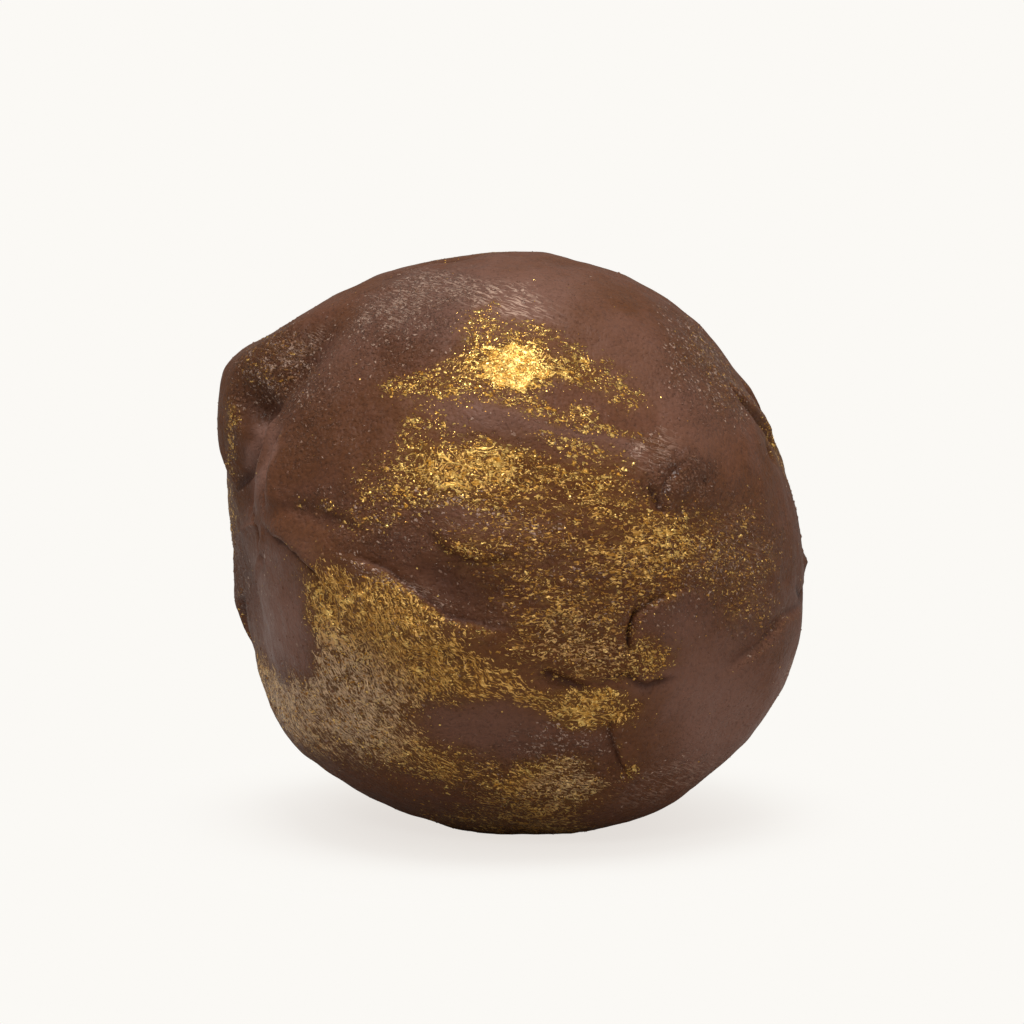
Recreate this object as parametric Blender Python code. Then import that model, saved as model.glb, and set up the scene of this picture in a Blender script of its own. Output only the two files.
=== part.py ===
"""A hand-rolled chocolate praline, 32 mm wide, as one closed solid.

Run it with: blender --background --python part.py

The form is a ball, pushed out by swells, pressed in by flats, and cut by the folds, lips and pits
that a palm leaves in soft chocolate. Every place is given as it is seen from one of the VIEWS:
millimetres to the right of the ball's centre and millimetres above it. +Z is up, the praline's
front looks along -Y, and the origin is on the flat spot that it stands on, below its centre.
"""

from collections import namedtuple

import bmesh
import bpy
import numpy as np
from mathutils import Vector, noise

MM = 0.001

# The ball: its own radius, and how far its front and back are drawn in.
BALL_RADIUS = 15.72 * MM
BALL_DEPTH_SHARE = 0.97
CENTRE_HEIGHT = 15.30 * MM

# The solid's mesh: a fine ball first, then fewer triangles where the form is plain.
FINE_SUBDIVISIONS = 7
KEPT_SHARE = 0.115
PATH_STEPS = 8
GATHER_SHARE = 0.55
GATHER_REACH = 1.0 * MM
SHARP_ANGLE = np.radians(50)
FOOT_SNAP = 0.05 * MM

# A lip's lower side sinks by this share of its height, over this share of its reach.
LOWER_SHARE = 0.45
LOWER_REACH_SHARE = 0.7

# Folds wander from their drawn paths: the size of each bend and how far it strays. The seed keeps
# the bends the same in every run, because noise_vector is otherwise seeded by the clock.
BENDS = ((2.6 * MM, 0.34 * MM), (1.1 * MM, 0.13 * MM), (0.45 * MM, 0.06 * MM))
BEND_SEED = 3

# The coating's slow unevenness.
WAVE_SIZE = 5.0 * MM
WAVE_HEIGHT = 0.17 * MM
WAVE_ROUGHNESS = 1.1
WAVE_LAYERS = 3

# Where an eye stands to read a place: its distance, and for each view the degrees round the
# praline and the degrees above the table.
EYE_DISTANCE = 277 * MM
VIEWS = {
    "front": (0, 8),
    "right": (90, 0),
    "back": (180, 0),
    "left": (270, 0),
    "top": (0, 90),
}

CHOCOLATE_COLOUR = (0.125, 0.052, 0.030, 1.0)
CHOCOLATE_ROUGHNESS = 0.42

Swell = namedtuple("Swell", "name view x z height spread")
Flat = namedtuple("Flat", "name view x z distance blend")
Lip = namedtuple("Lip", "name view path height groove reach edge overhang")
Crease = namedtuple("Crease", "name view path depth width")
Pit = namedtuple("Pit", "name view x z depth radius")

# Swells push the ball out, or in where the height is below zero. A place outside the ball's
# radius is on its rim as seen from that view.
SWELLS = (
    Swell("ear", "front", -13.4, 9.6, 1.60, 3.0),
    Swell("ear_root", "front", -11.6, 12.8, 0.80, 3.4),
    Swell("ear_back", "left", -4.5, 8.6, 0.70, 3.8),
    Swell("lower_left_corner", "front", -11.9, -10.7, 0.40, 3.2),
    Swell("lower_right_cheek", "front", 7.4, -13.4, 1.00, 4.2),
    Swell("right_cheek", "front", 13.8, -7.2, 0.95, 3.8),
    Swell("right_brow", "front", 12.6, 9.2, -0.50, 4.4),
    Swell("right_temple", "front", 15.1, 4.6, -0.26, 2.8),
    Swell("front_belly", "front", -3.0, -7.5, 0.35, 5.0),
    Swell("front_hollow", "front", 3.0, -0.5, -0.30, 4.5),
    Swell("front_forehead", "front", 0.5, 8.0, 0.20, 4.0),
    Swell("back_shoulder", "back", 5.5, 6.5, 0.75, 4.6),
    Swell("back_hip", "back", -6.5, -5.5, 0.80, 4.8),
    Swell("back_dip", "back", 4.0, -6.0, -0.50, 4.0),
    Swell("right_side_knuckle", "right", 8.5, 3.0, 0.35, 3.8),
    Swell("left_side_knuckle", "left", -9.0, -5.0, 0.40, 4.0),
)

# Flats are where a palm or the table pressed: the distance is from the ball's centre.
FLATS = (
    Flat("ear_top", "front", -8.3, 14.0, 16.30, 0.9),
    Flat("left_side", "front", -15.3, -2.8, 14.25, 1.5),
    Flat("temple", "front", -7.0, 7.0, 15.35, 1.0),
    Flat("forehead_right", "front", 6.5, 8.6, 15.40, 1.0),
    Flat("front_middle", "front", 2.0, 1.6, 14.95, 1.0),
    Flat("right_front", "front", 11.2, -0.4, 15.40, 0.9),
    Flat("lower_left", "front", -7.6, -6.8, 15.60, 1.0),
    Flat("chin", "front", 1.0, -11.4, 15.40, 0.9),
    Flat("low_right_front", "front", 9.6, -8.4, 15.75, 0.9),
    Flat("back_press", "back", -2.0, 3.0, 14.75, 1.8),
    Flat("back_low_press", "back", 9.0, -9.0, 15.2, 1.8),
    Flat("left_back_press", "left", -9.5, 2.0, 15.2, 1.6),
)

# Lips are edges where one skin of chocolate lies over another. The raised skin is on the left
# of the path's travel, and its height dies away over the reach.
LIPS = (
    Lip("channel_edge", "front",
        ((-12.4, 6.4), (-12.75, 5.2), (-12.95, 4.0), (-13.15, 2.8), (-13.4, 1.5)),
        0.36, 0.40, 1.8, 0.20, 0.12),
    Lip("under_ear", "front",
        ((-13.6, 1.0), (-12.7, 0.4), (-11.7, -0.35), (-10.9, -1.2), (-10.3, -2.0), (-9.9, -3.2)),
        0.32, 0.22, 3.4, 0.18, 0.16),
    Lip("gold_ridge", "front",
        ((0.6, -5.1), (-0.95, -4.75), (-2.45, -4.3), (-3.55, -3.9), (-4.6, -3.3), (-5.4, -2.7),
         (-6.95, -1.9), (-8.1, -1.3), (-9.2, -0.5)),
        0.27, 0.10, 4.6, 0.17, 0.14),
    Lip("brow_ridge", "front",
        ((-5.2, 1.0), (-3.9, 0.0), (-2.95, -0.45), (-2.1, -0.75), (-1.15, -0.85), (0.6, -0.7)),
        0.15, 0.10, 4.4, 0.16, 0.10),
    Lip("patch_edge", "front",
        ((9.9, -2.4), (8.15, -3.0), (7.2, -3.7), (6.7, -4.3), (6.6, -5.2), (6.7, -6.4)),
        0.16, 0.14, 3.0, 0.12, 0.08),
    Lip("low_flap", "front",
        ((7.6, -8.7), (5.95, -9.8), (5.75, -10.9), (6.1, -11.8), (6.5, -12.4), (6.3, -13.1)),
        0.22, 0.10, 3.4, 0.13, 0.14),
    Lip("scab_edge", "front",
        ((9.6, 4.3), (8.85, 3.75), (8.4, 3.0), (8.5, 2.1)),
        0.11, 0.12, 1.9, 0.16, 0.06),
    Lip("right_lip", "front",
        ((11.6, 9.0), (12.7, 7.6), (13.7, 6.4), (14.35, 5.4), (14.75, 4.7)),
        0.28, 0.12, 1.8, 0.22, 0.14),
    Lip("right_fold", "front",
        ((15.9, -3.0), (15.1, -4.2), (14.3, -5.0), (13.4, -5.85), (12.4, -6.7), (10.9, -7.5)),
        0.17, 0.12, 3.0, 0.30, 0.08),
    Lip("back_skin", "back",
        ((-9.5, 4.0), (-6.5, 6.0), (-3.5, 6.2), (-0.8, 4.9), (1.8, 4.6), (4.4, 6.0)),
        0.36, 0.22, 3.6, 0.25, 0.14),
    Lip("back_flap", "back",
        ((7.2, -0.4), (5.0, -2.8), (4.4, -5.0), (5.2, -7.2), (7.2, -8.6)),
        0.38, 0.22, 3.4, 0.25, 0.14),
    Lip("back_low_lip", "back",
        ((-9.0, -6.0), (-6.0, -7.4), (-3.4, -7.0), (-0.8, -8.1)),
        0.30, 0.20, 2.8, 0.25, 0.10),
    Lip("right_side_skin", "right",
        ((2.0, 9.8), (4.2, 7.0), (5.2, 4.6), (7.0, 2.8), (9.6, 2.0)),
        0.32, 0.20, 3.4, 0.25, 0.12),
    Lip("right_side_low_skin", "right",
        ((8.4, -7.0), (5.4, -5.8), (3.0, -6.4), (0.8, -8.4)),
        0.28, 0.18, 2.8, 0.25, 0.10),
    Lip("left_side_skin", "left",
        ((-8.0, 8.4), (-4.8, 6.0), (-2.6, 6.3), (0.2, 4.8), (1.6, 1.8)),
        0.36, 0.24, 3.2, 0.25, 0.12),
    Lip("left_side_flap", "left",
        ((-2.4, -9.2), (-4.0, -6.8), (-3.4, -4.4), (-0.6, -2.7)),
        0.34, 0.20, 3.0, 0.25, 0.12),
    Lip("crown_fold", "top",
        ((-4.6, 6.9), (-1.2, 5.2), (1.8, 5.8), (4.6, 4.4), (6.6, 1.2)),
        0.26, 0.14, 3.2, 0.28, 0.10),
)

# Creases are grooves, or rounded ridges where the depth is below zero.
CREASES = (
    Crease("ear_valley", "front",
           ((-8.6, 12.8), (-10.2, 11.3), (-11.6, 9.7), (-12.8, 8.2), (-13.7, 6.8), (-14.3, 5.2),
            (-14.7, 3.6), (-15.0, 2.0)),
           1.00, 1.45),
    Crease("ear_channel", "front",
           ((-13.4, 8.2), (-13.8, 6.9), (-14.1, 5.4), (-14.35, 3.8), (-14.5, 1.6)),
           0.95, 0.75),
    Crease("ear_groove", "front",
           ((-14.2, 6.6), (-14.5, 5.4), (-14.85, 4.0), (-15.15, 2.2)),
           0.40, 0.26),
    Crease("ear_rim", "front",
           ((-13.6, 10.2), (-14.7, 9.0), (-15.35, 7.5), (-15.5, 5.6), (-15.4, 4.0), (-15.2, 2.4)),
           -0.12, 0.75),
    Crease("ear_ribbon", "front",
           ((-12.8, 7.2), (-13.25, 6.2), (-13.65, 5.0), (-13.95, 3.8), (-14.2, 2.5)),
           -0.42, 0.36),
    Crease("waist_crease", "front",
           ((-13.5, 1.2), (-12.65, 1.75), (-11.5, 1.9), (-10.0, 1.6), (-8.8, 1.1), (-7.4, 0.2)),
           0.30, 0.50),
    Crease("waist_hollow", "front",
           ((-13.0, 3.0), (-11.6, 2.6), (-10.0, 2.3), (-8.0, 1.4)),
           0.30, 1.40),
    Crease("pinch_line", "front",
           ((-13.6, 1.2), (-13.5, 0.1), (-13.75, -0.9), (-13.85, -2.4)),
           -0.18, 0.22),
    Crease("pinch_arm", "front",
           ((-13.3, 1.2), (-14.2, 0.85), (-15.2, 0.4)),
           -0.18, 0.22),
    Crease("patch_slit", "front",
           ((6.9, -3.4), (6.6, -4.3), (6.55, -6.0)),
           0.28, 0.15),
    Crease("belly_slot", "front",
           ((1.4, -7.0), (3.05, -7.6), (4.7, -7.8)),
           0.50, 0.36),
    Crease("belly_crack", "front",
           ((4.3, -7.7), (5.4, -7.4), (6.1, -7.3), (6.8, -7.6), (7.75, -7.7), (9.4, -7.3)),
           0.30, 0.28),
    Crease("scab_pit", "front",
           ((7.3, 3.2), (7.8, 2.6), (8.2, 2.0), (8.7, 1.7)),
           0.34, 0.24),
    Crease("scab_crack", "front",
           ((8.3, 4.5), (9.3, 4.9), (10.2, 4.6), (10.9, 3.9), (11.1, 3.0)),
           0.06, 0.24),
    Crease("belly_fold", "front",
           ((-5.6, -6.2), (-4.0, -5.9), (-2.4, -6.4), (-0.9, -7.1)),
           0.20, 0.42),
    Crease("belly_roll", "front",
           ((-1.2, -5.4), (0.8, -6.0), (2.6, -6.2), (4.4, -5.9)),
           -0.10, 0.50),
    Crease("mass_fold", "front",
           ((-8.8, -4.6), (-7.9, -5.6), (-7.6, -6.9), (-8.3, -8.2)),
           0.16, 0.40),
    Crease("short_tuck", "front",
           ((-9.9, -2.2), (-9.6, -3.4), (-9.4, -4.6)),
           0.16, 0.30),
    Crease("between_shines", "front",
           ((-5.5, 6.6), (-2.5, 6.1), (1.0, 5.9), (4.5, 5.2), (7.0, 4.6)),
           0.12, 0.80),
    Crease("back_seam", "back",
           ((-2.4, 12.4), (-0.6, 9.2), (0.4, 6.9), (0.2, 4.8)),
           0.30, 0.36),
    Crease("back_crack", "back",
           ((-9.0, 0.8), (-6.2, -0.6), (-4.0, -0.3), (-1.4, -1.6)),
           0.34, 0.34),
    Crease("left_side_seam", "left",
           ((4.6, 9.2), (6.2, 5.4), (6.0, 2.6), (7.4, -0.8)),
           0.32, 0.40),
    Crease("right_side_crack", "right",
           ((-5.2, -1.6), (-2.4, -2.6), (-0.6, -2.1), (2.0, -3.4)),
           0.30, 0.32),
    Crease("crown_crack", "top",
           ((-7.8, -1.9), (-5.0, -0.4), (-3.2, -0.8), (-0.2, 0.8)),
           0.24, 0.34),
)

# Pits are small dents, or nubs where the depth is below zero.
PITS = (
    Pit("ear_recess", "front", -13.9, 7.1, 0.65, 0.95),
    Pit("pinch_hole", "front", -14.2, 1.4, 0.50, 0.32),
    Pit("hollow_under_lip", "front", -12.2, -2.4, 0.30, 1.60),
    Pit("hollow_between_ridges", "front", -3.4, -2.1, 0.40, 1.45),
    Pit("hollow_between_ridges_end", "front", -1.2, -3.1, 0.26, 1.20),
    Pit("gold_dimple", "front", -4.55, -6.55, 0.22, 0.45),
    Pit("scab", "front", 9.75, 4.1, -0.24, 1.20),
    Pit("scab_hole", "front", 10.75, 3.25, 0.24, 0.26),
    Pit("scab_lump", "front", 8.9, 2.9, -0.16, 0.50),
    Pit("scab_low_lump", "front", 10.3, 2.2, -0.14, 0.60),
    Pit("pale_bump", "front", 8.1, 4.9, -0.14, 0.60),
    Pit("right_cavity", "front", 14.2, 4.8, 0.62, 0.62),
    Pit("low_hollow", "front", -0.6, -10.6, 0.22, 2.10),
    Pit("right_nub", "front", 16.2, -1.2, -0.24, 0.30),
    Pit("left_nub", "front", -13.3, -9.35, -0.20, 0.28),
    Pit("back_thumb_dent", "back", 2.5, 0.5, 0.40, 1.80),
    Pit("back_nub", "back", -3.6, 3.0, -0.20, 0.55),
    Pit("back_hole", "back", 8.2, 2.6, 0.32, 0.45),
    Pit("left_side_dent", "left", 2.4, -2.6, 0.34, 1.60),
    Pit("right_side_dent", "right", 3.2, -1.4, 0.30, 1.50),
    Pit("crown_dimple", "top", 3.0, -2.0, 0.20, 1.00),
)


def view_axes(view):
    """The directions to the right, up and towards the eye, as seen from a view."""
    turn, rise = np.radians(VIEWS[view])
    towards = np.array((np.sin(turn) * np.cos(rise), -np.cos(turn) * np.cos(rise), np.sin(rise)))
    right = np.array((np.cos(turn), np.sin(turn), 0.0))
    return right, np.cross(towards, right), towards


def unit(vectors):
    """The same directions with a length of one."""
    return vectors / np.linalg.norm(vectors, axis=-1, keepdims=True)


def place(view, x, z, radius_at=None):
    """The direction from the ball's centre to a point seen at x, z millimetres.

    The eye stands EYE_DISTANCE from the centre. radius_at gives the form's radius in a
    direction, and the point then lies on that form.
    """
    right, up, towards = view_axes(view)
    eye = EYE_DISTANCE * towards
    ray = unit(x * MM * right + z * MM * up - eye)
    to_middle = -(ray @ eye)
    aside = eye @ eye - to_middle**2
    radius = BALL_RADIUS
    for _ in range(1 if radius_at is None else 5):
        direction = unit(eye + (to_middle - np.sqrt(max(radius**2 - aside, 0.0))) * ray)
        if radius_at is not None:
            radius = radius_at(direction[None, :])[0]
    return direction


def smooth_least(a, b, blend):
    """The smaller of two lengths, with the change from one to the other rounded over blend."""
    share = np.clip(1 - np.abs(a - b) / blend, 0, 1)
    return np.minimum(a, b) - blend * share**3 / 6


def ball_form(directions):
    """The radius of the ball with its swells and flats, before any fold."""
    depth = directions[:, 1]
    radius = BALL_RADIUS * (1 - (1 - BALL_DEPTH_SHARE) * depth**2)
    for swell in SWELLS:
        centre = place(swell.view, swell.x, swell.z)
        away = BALL_RADIUS * np.arccos(np.clip(directions @ centre, -1, 1))
        radius = radius + swell.height * MM * np.exp(-0.5 * (away / (swell.spread * MM)) ** 2)
    for flat in FLATS:
        facing = np.maximum(directions @ place(flat.view, flat.x, flat.z), 0.05)
        radius = smooth_least(radius, flat.distance * MM / facing, flat.blend * MM)
    return radius


def smooth_path(view, points):
    """Directions along a smooth curve through the points of a fold."""
    knots = np.array([place(view, x, z, ball_form) for x, z in points])
    ends = (2 * knots[0] - knots[1], 2 * knots[-1] - knots[-2])
    held = np.vstack((ends[0], knots, ends[1]))
    curve = []
    for before, start, stop, after in zip(held, held[1:], held[2:], held[3:], strict=False):
        for t in np.arange(PATH_STEPS) / PATH_STEPS:
            curve.append(0.5 * (2 * start + (stop - before) * t
                                + (2 * before - 5 * start + 4 * stop - after) * t**2
                                + (3 * start - before - 3 * stop + after) * t**3))
    return unit(np.array(curve + [knots[-1]]))


def beside_path(directions, path, reach):
    """How the directions within reach of a path lie to it.

    Gives which directions those are, their signed distances, above zero to the left of the
    path's travel, the share of the path's length that each lies beside, and the direction to
    the left there.
    """
    middle = unit(path.mean(axis=0))
    cap = np.arccos(np.clip(path @ middle, -1, 1)).max() + reach / BALL_RADIUS
    near = np.flatnonzero(directions @ middle > np.cos(cap))
    steps = np.diff(path, axis=0)
    lengths = np.linalg.norm(steps, axis=1)
    starts = np.concatenate(((0.0,), np.cumsum(lengths)))
    nearest = np.full(len(near), np.inf)
    signed = np.zeros(len(near))
    along = np.zeros(len(near))
    leftward = np.zeros((len(near), 3))
    for start, step, length, behind in zip(path, steps, lengths, starts, strict=False):
        offset = directions[near] - start
        share = np.clip(offset @ step / length**2, 0, 1)
        gap = offset - share[:, None] * step
        distance = np.linalg.norm(gap, axis=1)
        left = unit(np.cross(start + step / 2, step))
        closer = distance < nearest
        nearest[closer] = distance[closer]
        signed[closer] = (np.sign(gap @ left) * distance)[closer]
        along[closer] = (behind + share * length)[closer]
        leftward[closer] = left
    return near, BALL_RADIUS * signed, along / starts[-1], leftward


def ends_fade(along, share=0.28):
    """One along a fold's middle, down to nothing at both its ends."""
    t = np.clip(np.minimum(along, 1 - along) / share, 0, 1)
    return t * t * (3 - 2 * t)


def gathered(directions, paths):
    """The directions drawn in towards the folds, where the form turns fastest."""
    moved = directions.copy()
    for path in paths:
        near, signed, along, leftward = beside_path(moved, path, 3 * GATHER_REACH)
        pull = GATHER_SHARE * np.exp(-((signed / GATHER_REACH) ** 2)) * ends_fade(along, 0.1)
        moved[near] = unit(moved[near] - (pull * signed / BALL_RADIUS)[:, None] * leftward)
    return moved


def lip_shape(lip, signed, along):
    """A lip's height over the form, and how far it is drawn over the lower side."""
    fade = ends_fade(along)
    edge = lip.edge * MM
    raised_share = 0.5 * (1 + np.tanh(signed / (0.6 * edge)))
    raised = raised_share * np.exp(-((np.maximum(signed, 0) / (lip.reach * MM)) ** 2))
    lower_reach = LOWER_REACH_SHARE * lip.reach * MM
    lowered = (1 - raised_share) * np.exp(-((np.minimum(signed, 0) / lower_reach) ** 2))
    groove = np.exp(-(((signed + edge) / (1.4 * edge)) ** 2))
    height = lip.height * (raised - LOWER_SHARE * lowered) - lip.groove * groove
    drawn = lip.overhang * np.exp(-(((signed - 0.4 * edge) / (1.4 * edge)) ** 2))
    return height * fade * MM, -drawn * fade * MM


def bent_directions(directions):
    """The directions as the folds see them, so that each fold wanders a little."""
    noise.seed_set(BEND_SEED)
    bent = directions.copy()
    for size, reach in BENDS:
        scale = BALL_RADIUS / size
        strayed = np.array([noise.noise_vector(Vector(d) * scale) for d in directions])
        bent += strayed * reach / BALL_RADIUS
    return unit(bent)


def praline_points(directions):
    """Points on the finished form, one for each direction from the ball's centre."""
    bent = bent_directions(directions)
    radius = ball_form(directions)
    sideways = np.zeros_like(directions)
    for lip in LIPS:
        path = smooth_path(lip.view, lip.path)
        near, signed, along, leftward = beside_path(bent, path, 3 * lip.reach * MM)
        height, drawn = lip_shape(lip, signed, along)
        radius[near] += height
        sideways[near] += drawn[:, None] * leftward
    for crease in CREASES:
        path = smooth_path(crease.view, crease.path)
        near, signed, along, _ = beside_path(bent, path, 3 * crease.width * MM)
        section = np.exp(-((signed / (crease.width * MM)) ** 2))
        radius[near] -= crease.depth * MM * section * ends_fade(along)
    for pit in PITS:
        centre = place(pit.view, pit.x, pit.z, ball_form)
        away = BALL_RADIUS * np.arccos(np.clip(bent @ centre, -1, 1))
        radius -= pit.depth * MM * np.exp(-((away / (pit.radius * MM)) ** 2))
    radius += wave_heights(directions)
    return directions * radius[:, None] + sideways + np.array((0.0, 0.0, CENTRE_HEIGHT))


def wave_heights(directions):
    """The coating's slow unevenness in each direction."""
    scale = BALL_RADIUS / WAVE_SIZE
    heights = [noise.fractal(Vector(d) * scale, WAVE_ROUGHNESS, 2.0, WAVE_LAYERS) for d in directions]
    return WAVE_HEIGHT * np.array(heights)


def fine_ball():
    """A fine mesh of the unit ball, and the directions of its corners."""
    mesh = bpy.data.meshes.new("praline")
    ball = bmesh.new()
    bmesh.ops.create_icosphere(ball, subdivisions=FINE_SUBDIVISIONS, radius=1.0)
    ball.to_mesh(mesh)
    ball.free()
    corners = np.empty(len(mesh.vertices) * 3)
    mesh.vertices.foreach_get("co", corners)
    return mesh, unit(corners.reshape(-1, 3))


def thinned(praline):
    """Takes triangles out where the form is plain."""
    decimate = praline.modifiers.new("fewer_triangles", "DECIMATE")
    decimate.ratio = KEPT_SHARE
    graph = bpy.context.evaluated_depsgraph_get()
    mesh = bpy.data.meshes.new_from_object(praline.evaluated_get(graph))
    praline.modifiers.clear()
    praline.data = mesh


def cut_level(mesh):
    """Cuts the praline off level with the table, and closes the cut with one flat face."""
    form = bmesh.new()
    form.from_mesh(mesh)
    whole = form.verts[:] + form.edges[:] + form.faces[:]
    cut = bmesh.ops.bisect_plane(form, geom=whole, dist=FOOT_SNAP, use_snap_center=True,
                                 plane_co=(0, 0, 0), plane_no=(0, 0, 1), clear_inner=True)
    rim = [part for part in cut["geom_cut"] if isinstance(part, bmesh.types.BMEdge)]
    bmesh.ops.contextual_create(form, geom=rim)
    bmesh.ops.recalc_face_normals(form, faces=form.faces)
    form.to_mesh(mesh)
    form.free()


def chocolate():
    """The satin brown of the coating."""
    material = bpy.data.materials.new("chocolate")
    material.use_nodes = True
    shader = material.node_tree.nodes["Principled BSDF"]
    shader.inputs["Base Color"].default_value = CHOCOLATE_COLOUR
    shader.inputs["Roughness"].default_value = CHOCOLATE_ROUGHNESS
    shader.inputs["Metallic"].default_value = 0.0
    return material


def make_praline():
    """The praline as one object, with its folds and its flat spot."""
    mesh, directions = fine_ball()
    paths = [smooth_path(fold.view, fold.path) for fold in LIPS + CREASES]
    points = praline_points(gathered(directions, paths))
    points[:, :2] -= (points[:, :2].min(axis=0) + points[:, :2].max(axis=0)) / 2
    mesh.vertices.foreach_set("co", points.ravel())
    mesh.update()
    praline = bpy.data.objects.new("praline", mesh)
    bpy.context.scene.collection.objects.link(praline)
    thinned(praline)
    cut_level(praline.data)
    praline.data.shade_smooth()
    praline.data.set_sharp_from_angle(angle=SHARP_ANGLE)
    praline.data.name = "praline"
    praline.data.materials.append(chocolate())
    return praline


def main():
    """Clears the scene and builds the praline."""
    for old in list(bpy.data.objects):
        bpy.data.objects.remove(old)
    make_praline()


main()
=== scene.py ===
"""A hand-rolled chocolate praline with brushed gold lustre, laid out as a Blender add-on.

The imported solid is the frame: the body made here has the same form, a finer skin and its finish,
and stands in the solid's place. Places on the praline are given as they are seen from one of the
VIEWS, in millimetres to the right of the ball's centre and millimetres above it. +Z is up, and the
praline's front looks along -Y.
"""

from collections import namedtuple
from functools import partial

import bpy
import numpy as np
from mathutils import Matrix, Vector, noise


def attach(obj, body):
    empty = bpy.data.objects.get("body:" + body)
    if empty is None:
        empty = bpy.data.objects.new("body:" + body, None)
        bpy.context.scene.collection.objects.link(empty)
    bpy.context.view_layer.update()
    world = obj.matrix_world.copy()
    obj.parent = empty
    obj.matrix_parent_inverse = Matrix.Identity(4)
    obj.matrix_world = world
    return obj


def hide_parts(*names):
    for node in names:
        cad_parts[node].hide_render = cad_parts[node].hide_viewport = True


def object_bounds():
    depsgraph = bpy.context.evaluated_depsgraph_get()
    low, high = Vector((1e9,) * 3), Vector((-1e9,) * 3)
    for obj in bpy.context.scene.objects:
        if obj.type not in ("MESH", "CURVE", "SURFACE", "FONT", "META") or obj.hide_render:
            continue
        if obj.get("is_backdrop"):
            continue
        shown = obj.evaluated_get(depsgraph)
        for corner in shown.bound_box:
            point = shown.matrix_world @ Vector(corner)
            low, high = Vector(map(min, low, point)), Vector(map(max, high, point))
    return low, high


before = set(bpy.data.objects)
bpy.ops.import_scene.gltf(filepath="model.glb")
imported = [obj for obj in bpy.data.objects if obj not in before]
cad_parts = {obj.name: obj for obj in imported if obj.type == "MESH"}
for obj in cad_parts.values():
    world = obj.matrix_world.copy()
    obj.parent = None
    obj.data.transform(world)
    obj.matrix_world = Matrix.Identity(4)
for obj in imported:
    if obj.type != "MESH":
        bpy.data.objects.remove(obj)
CAD_LOW, CAD_HIGH = (np.array(corner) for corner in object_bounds())

bl_info = {
    "name": "Gilded Praline",
    "version": (1, 0, 0),
    "blender": (4, 5, 0),
    "location": "View3D > Sidebar > Praline",
    "description": "Makes a hand-rolled chocolate praline brushed with gold lustre",
    "category": "Add Mesh",
}

MM = 0.001

# The ball, as the solid has it.
BALL_RADIUS = 15.72 * MM
BALL_DEPTH_SHARE = 0.97
CENTRE_HEIGHT = 15.30 * MM

# The room left for loose flakes between the body and the sides of the solid's box.
FLAKE_MARGIN = 0.04 * MM

# Folds run smoothly through their points, in this many steps from one to the next. The mesh is
# drawn in towards them by a share, within a reach.
PATH_STEPS = 8
GATHER_SHARE = 0.55
GATHER_REACH = 1.0 * MM

# A lip's lower side sinks by this share of its height, over this share of its reach.
LOWER_SHARE = 0.45
LOWER_REACH_SHARE = 0.7

# Folds wander from their drawn paths: the size of each bend and how far it strays. The seed keeps
# the bends the same in every run, because noise_vector is otherwise seeded by the clock.
BENDS = ((2.6 * MM, 0.34 * MM), (1.1 * MM, 0.13 * MM), (0.45 * MM, 0.06 * MM))
BEND_SEED = 3

# The coating's slow unevenness.
WAVE_SIZE = 5.0 * MM
WAVE_HEIGHT = 0.17 * MM
WAVE_ROUGHNESS = 1.1
WAVE_LAYERS = 3

# Where an eye stands to read a place: its distance, and for each view the degrees round the
# praline and the degrees above the table.
EYE_DISTANCE = 277 * MM
VIEWS = {
    "front": (0, 8),
    "right": (90, 0),
    "back": (180, 0),
    "left": (270, 0),
    "top": (0, 90),
    "under": (0, -80),
}

Swell = namedtuple("Swell", "name view x z height spread")
Flat = namedtuple("Flat", "name view x z distance blend")
Lip = namedtuple("Lip", "name view path height groove reach edge overhang")
Crease = namedtuple("Crease", "name view path depth width")
Pit = namedtuple("Pit", "name view x z depth radius")

# Swells push the ball out, or in where the height is below zero. A place outside the ball's
# radius is on its rim as seen from that view.
SWELLS = (
    Swell("ear", "front", -13.4, 9.6, 1.60, 3.0),
    Swell("ear_root", "front", -11.6, 12.8, 0.80, 3.4),
    Swell("ear_back", "left", -4.5, 8.6, 0.70, 3.8),
    Swell("lower_left_corner", "front", -11.9, -10.7, 0.40, 3.2),
    Swell("lower_right_cheek", "front", 7.4, -13.4, 1.00, 4.2),
    Swell("right_cheek", "front", 13.8, -7.2, 0.95, 3.8),
    Swell("right_brow", "front", 12.6, 9.2, -0.50, 4.4),
    Swell("right_temple", "front", 15.1, 4.6, -0.26, 2.8),
    Swell("front_belly", "front", -3.0, -7.5, 0.35, 5.0),
    Swell("front_hollow", "front", 3.0, -0.5, -0.30, 4.5),
    Swell("front_forehead", "front", 0.5, 8.0, 0.20, 4.0),
    Swell("back_shoulder", "back", 5.5, 6.5, 0.75, 4.6),
    Swell("back_hip", "back", -6.5, -5.5, 0.80, 4.8),
    Swell("back_dip", "back", 4.0, -6.0, -0.50, 4.0),
    Swell("right_side_knuckle", "right", 8.5, 3.0, 0.35, 3.8),
    Swell("left_side_knuckle", "left", -9.0, -5.0, 0.40, 4.0),
)

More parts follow.
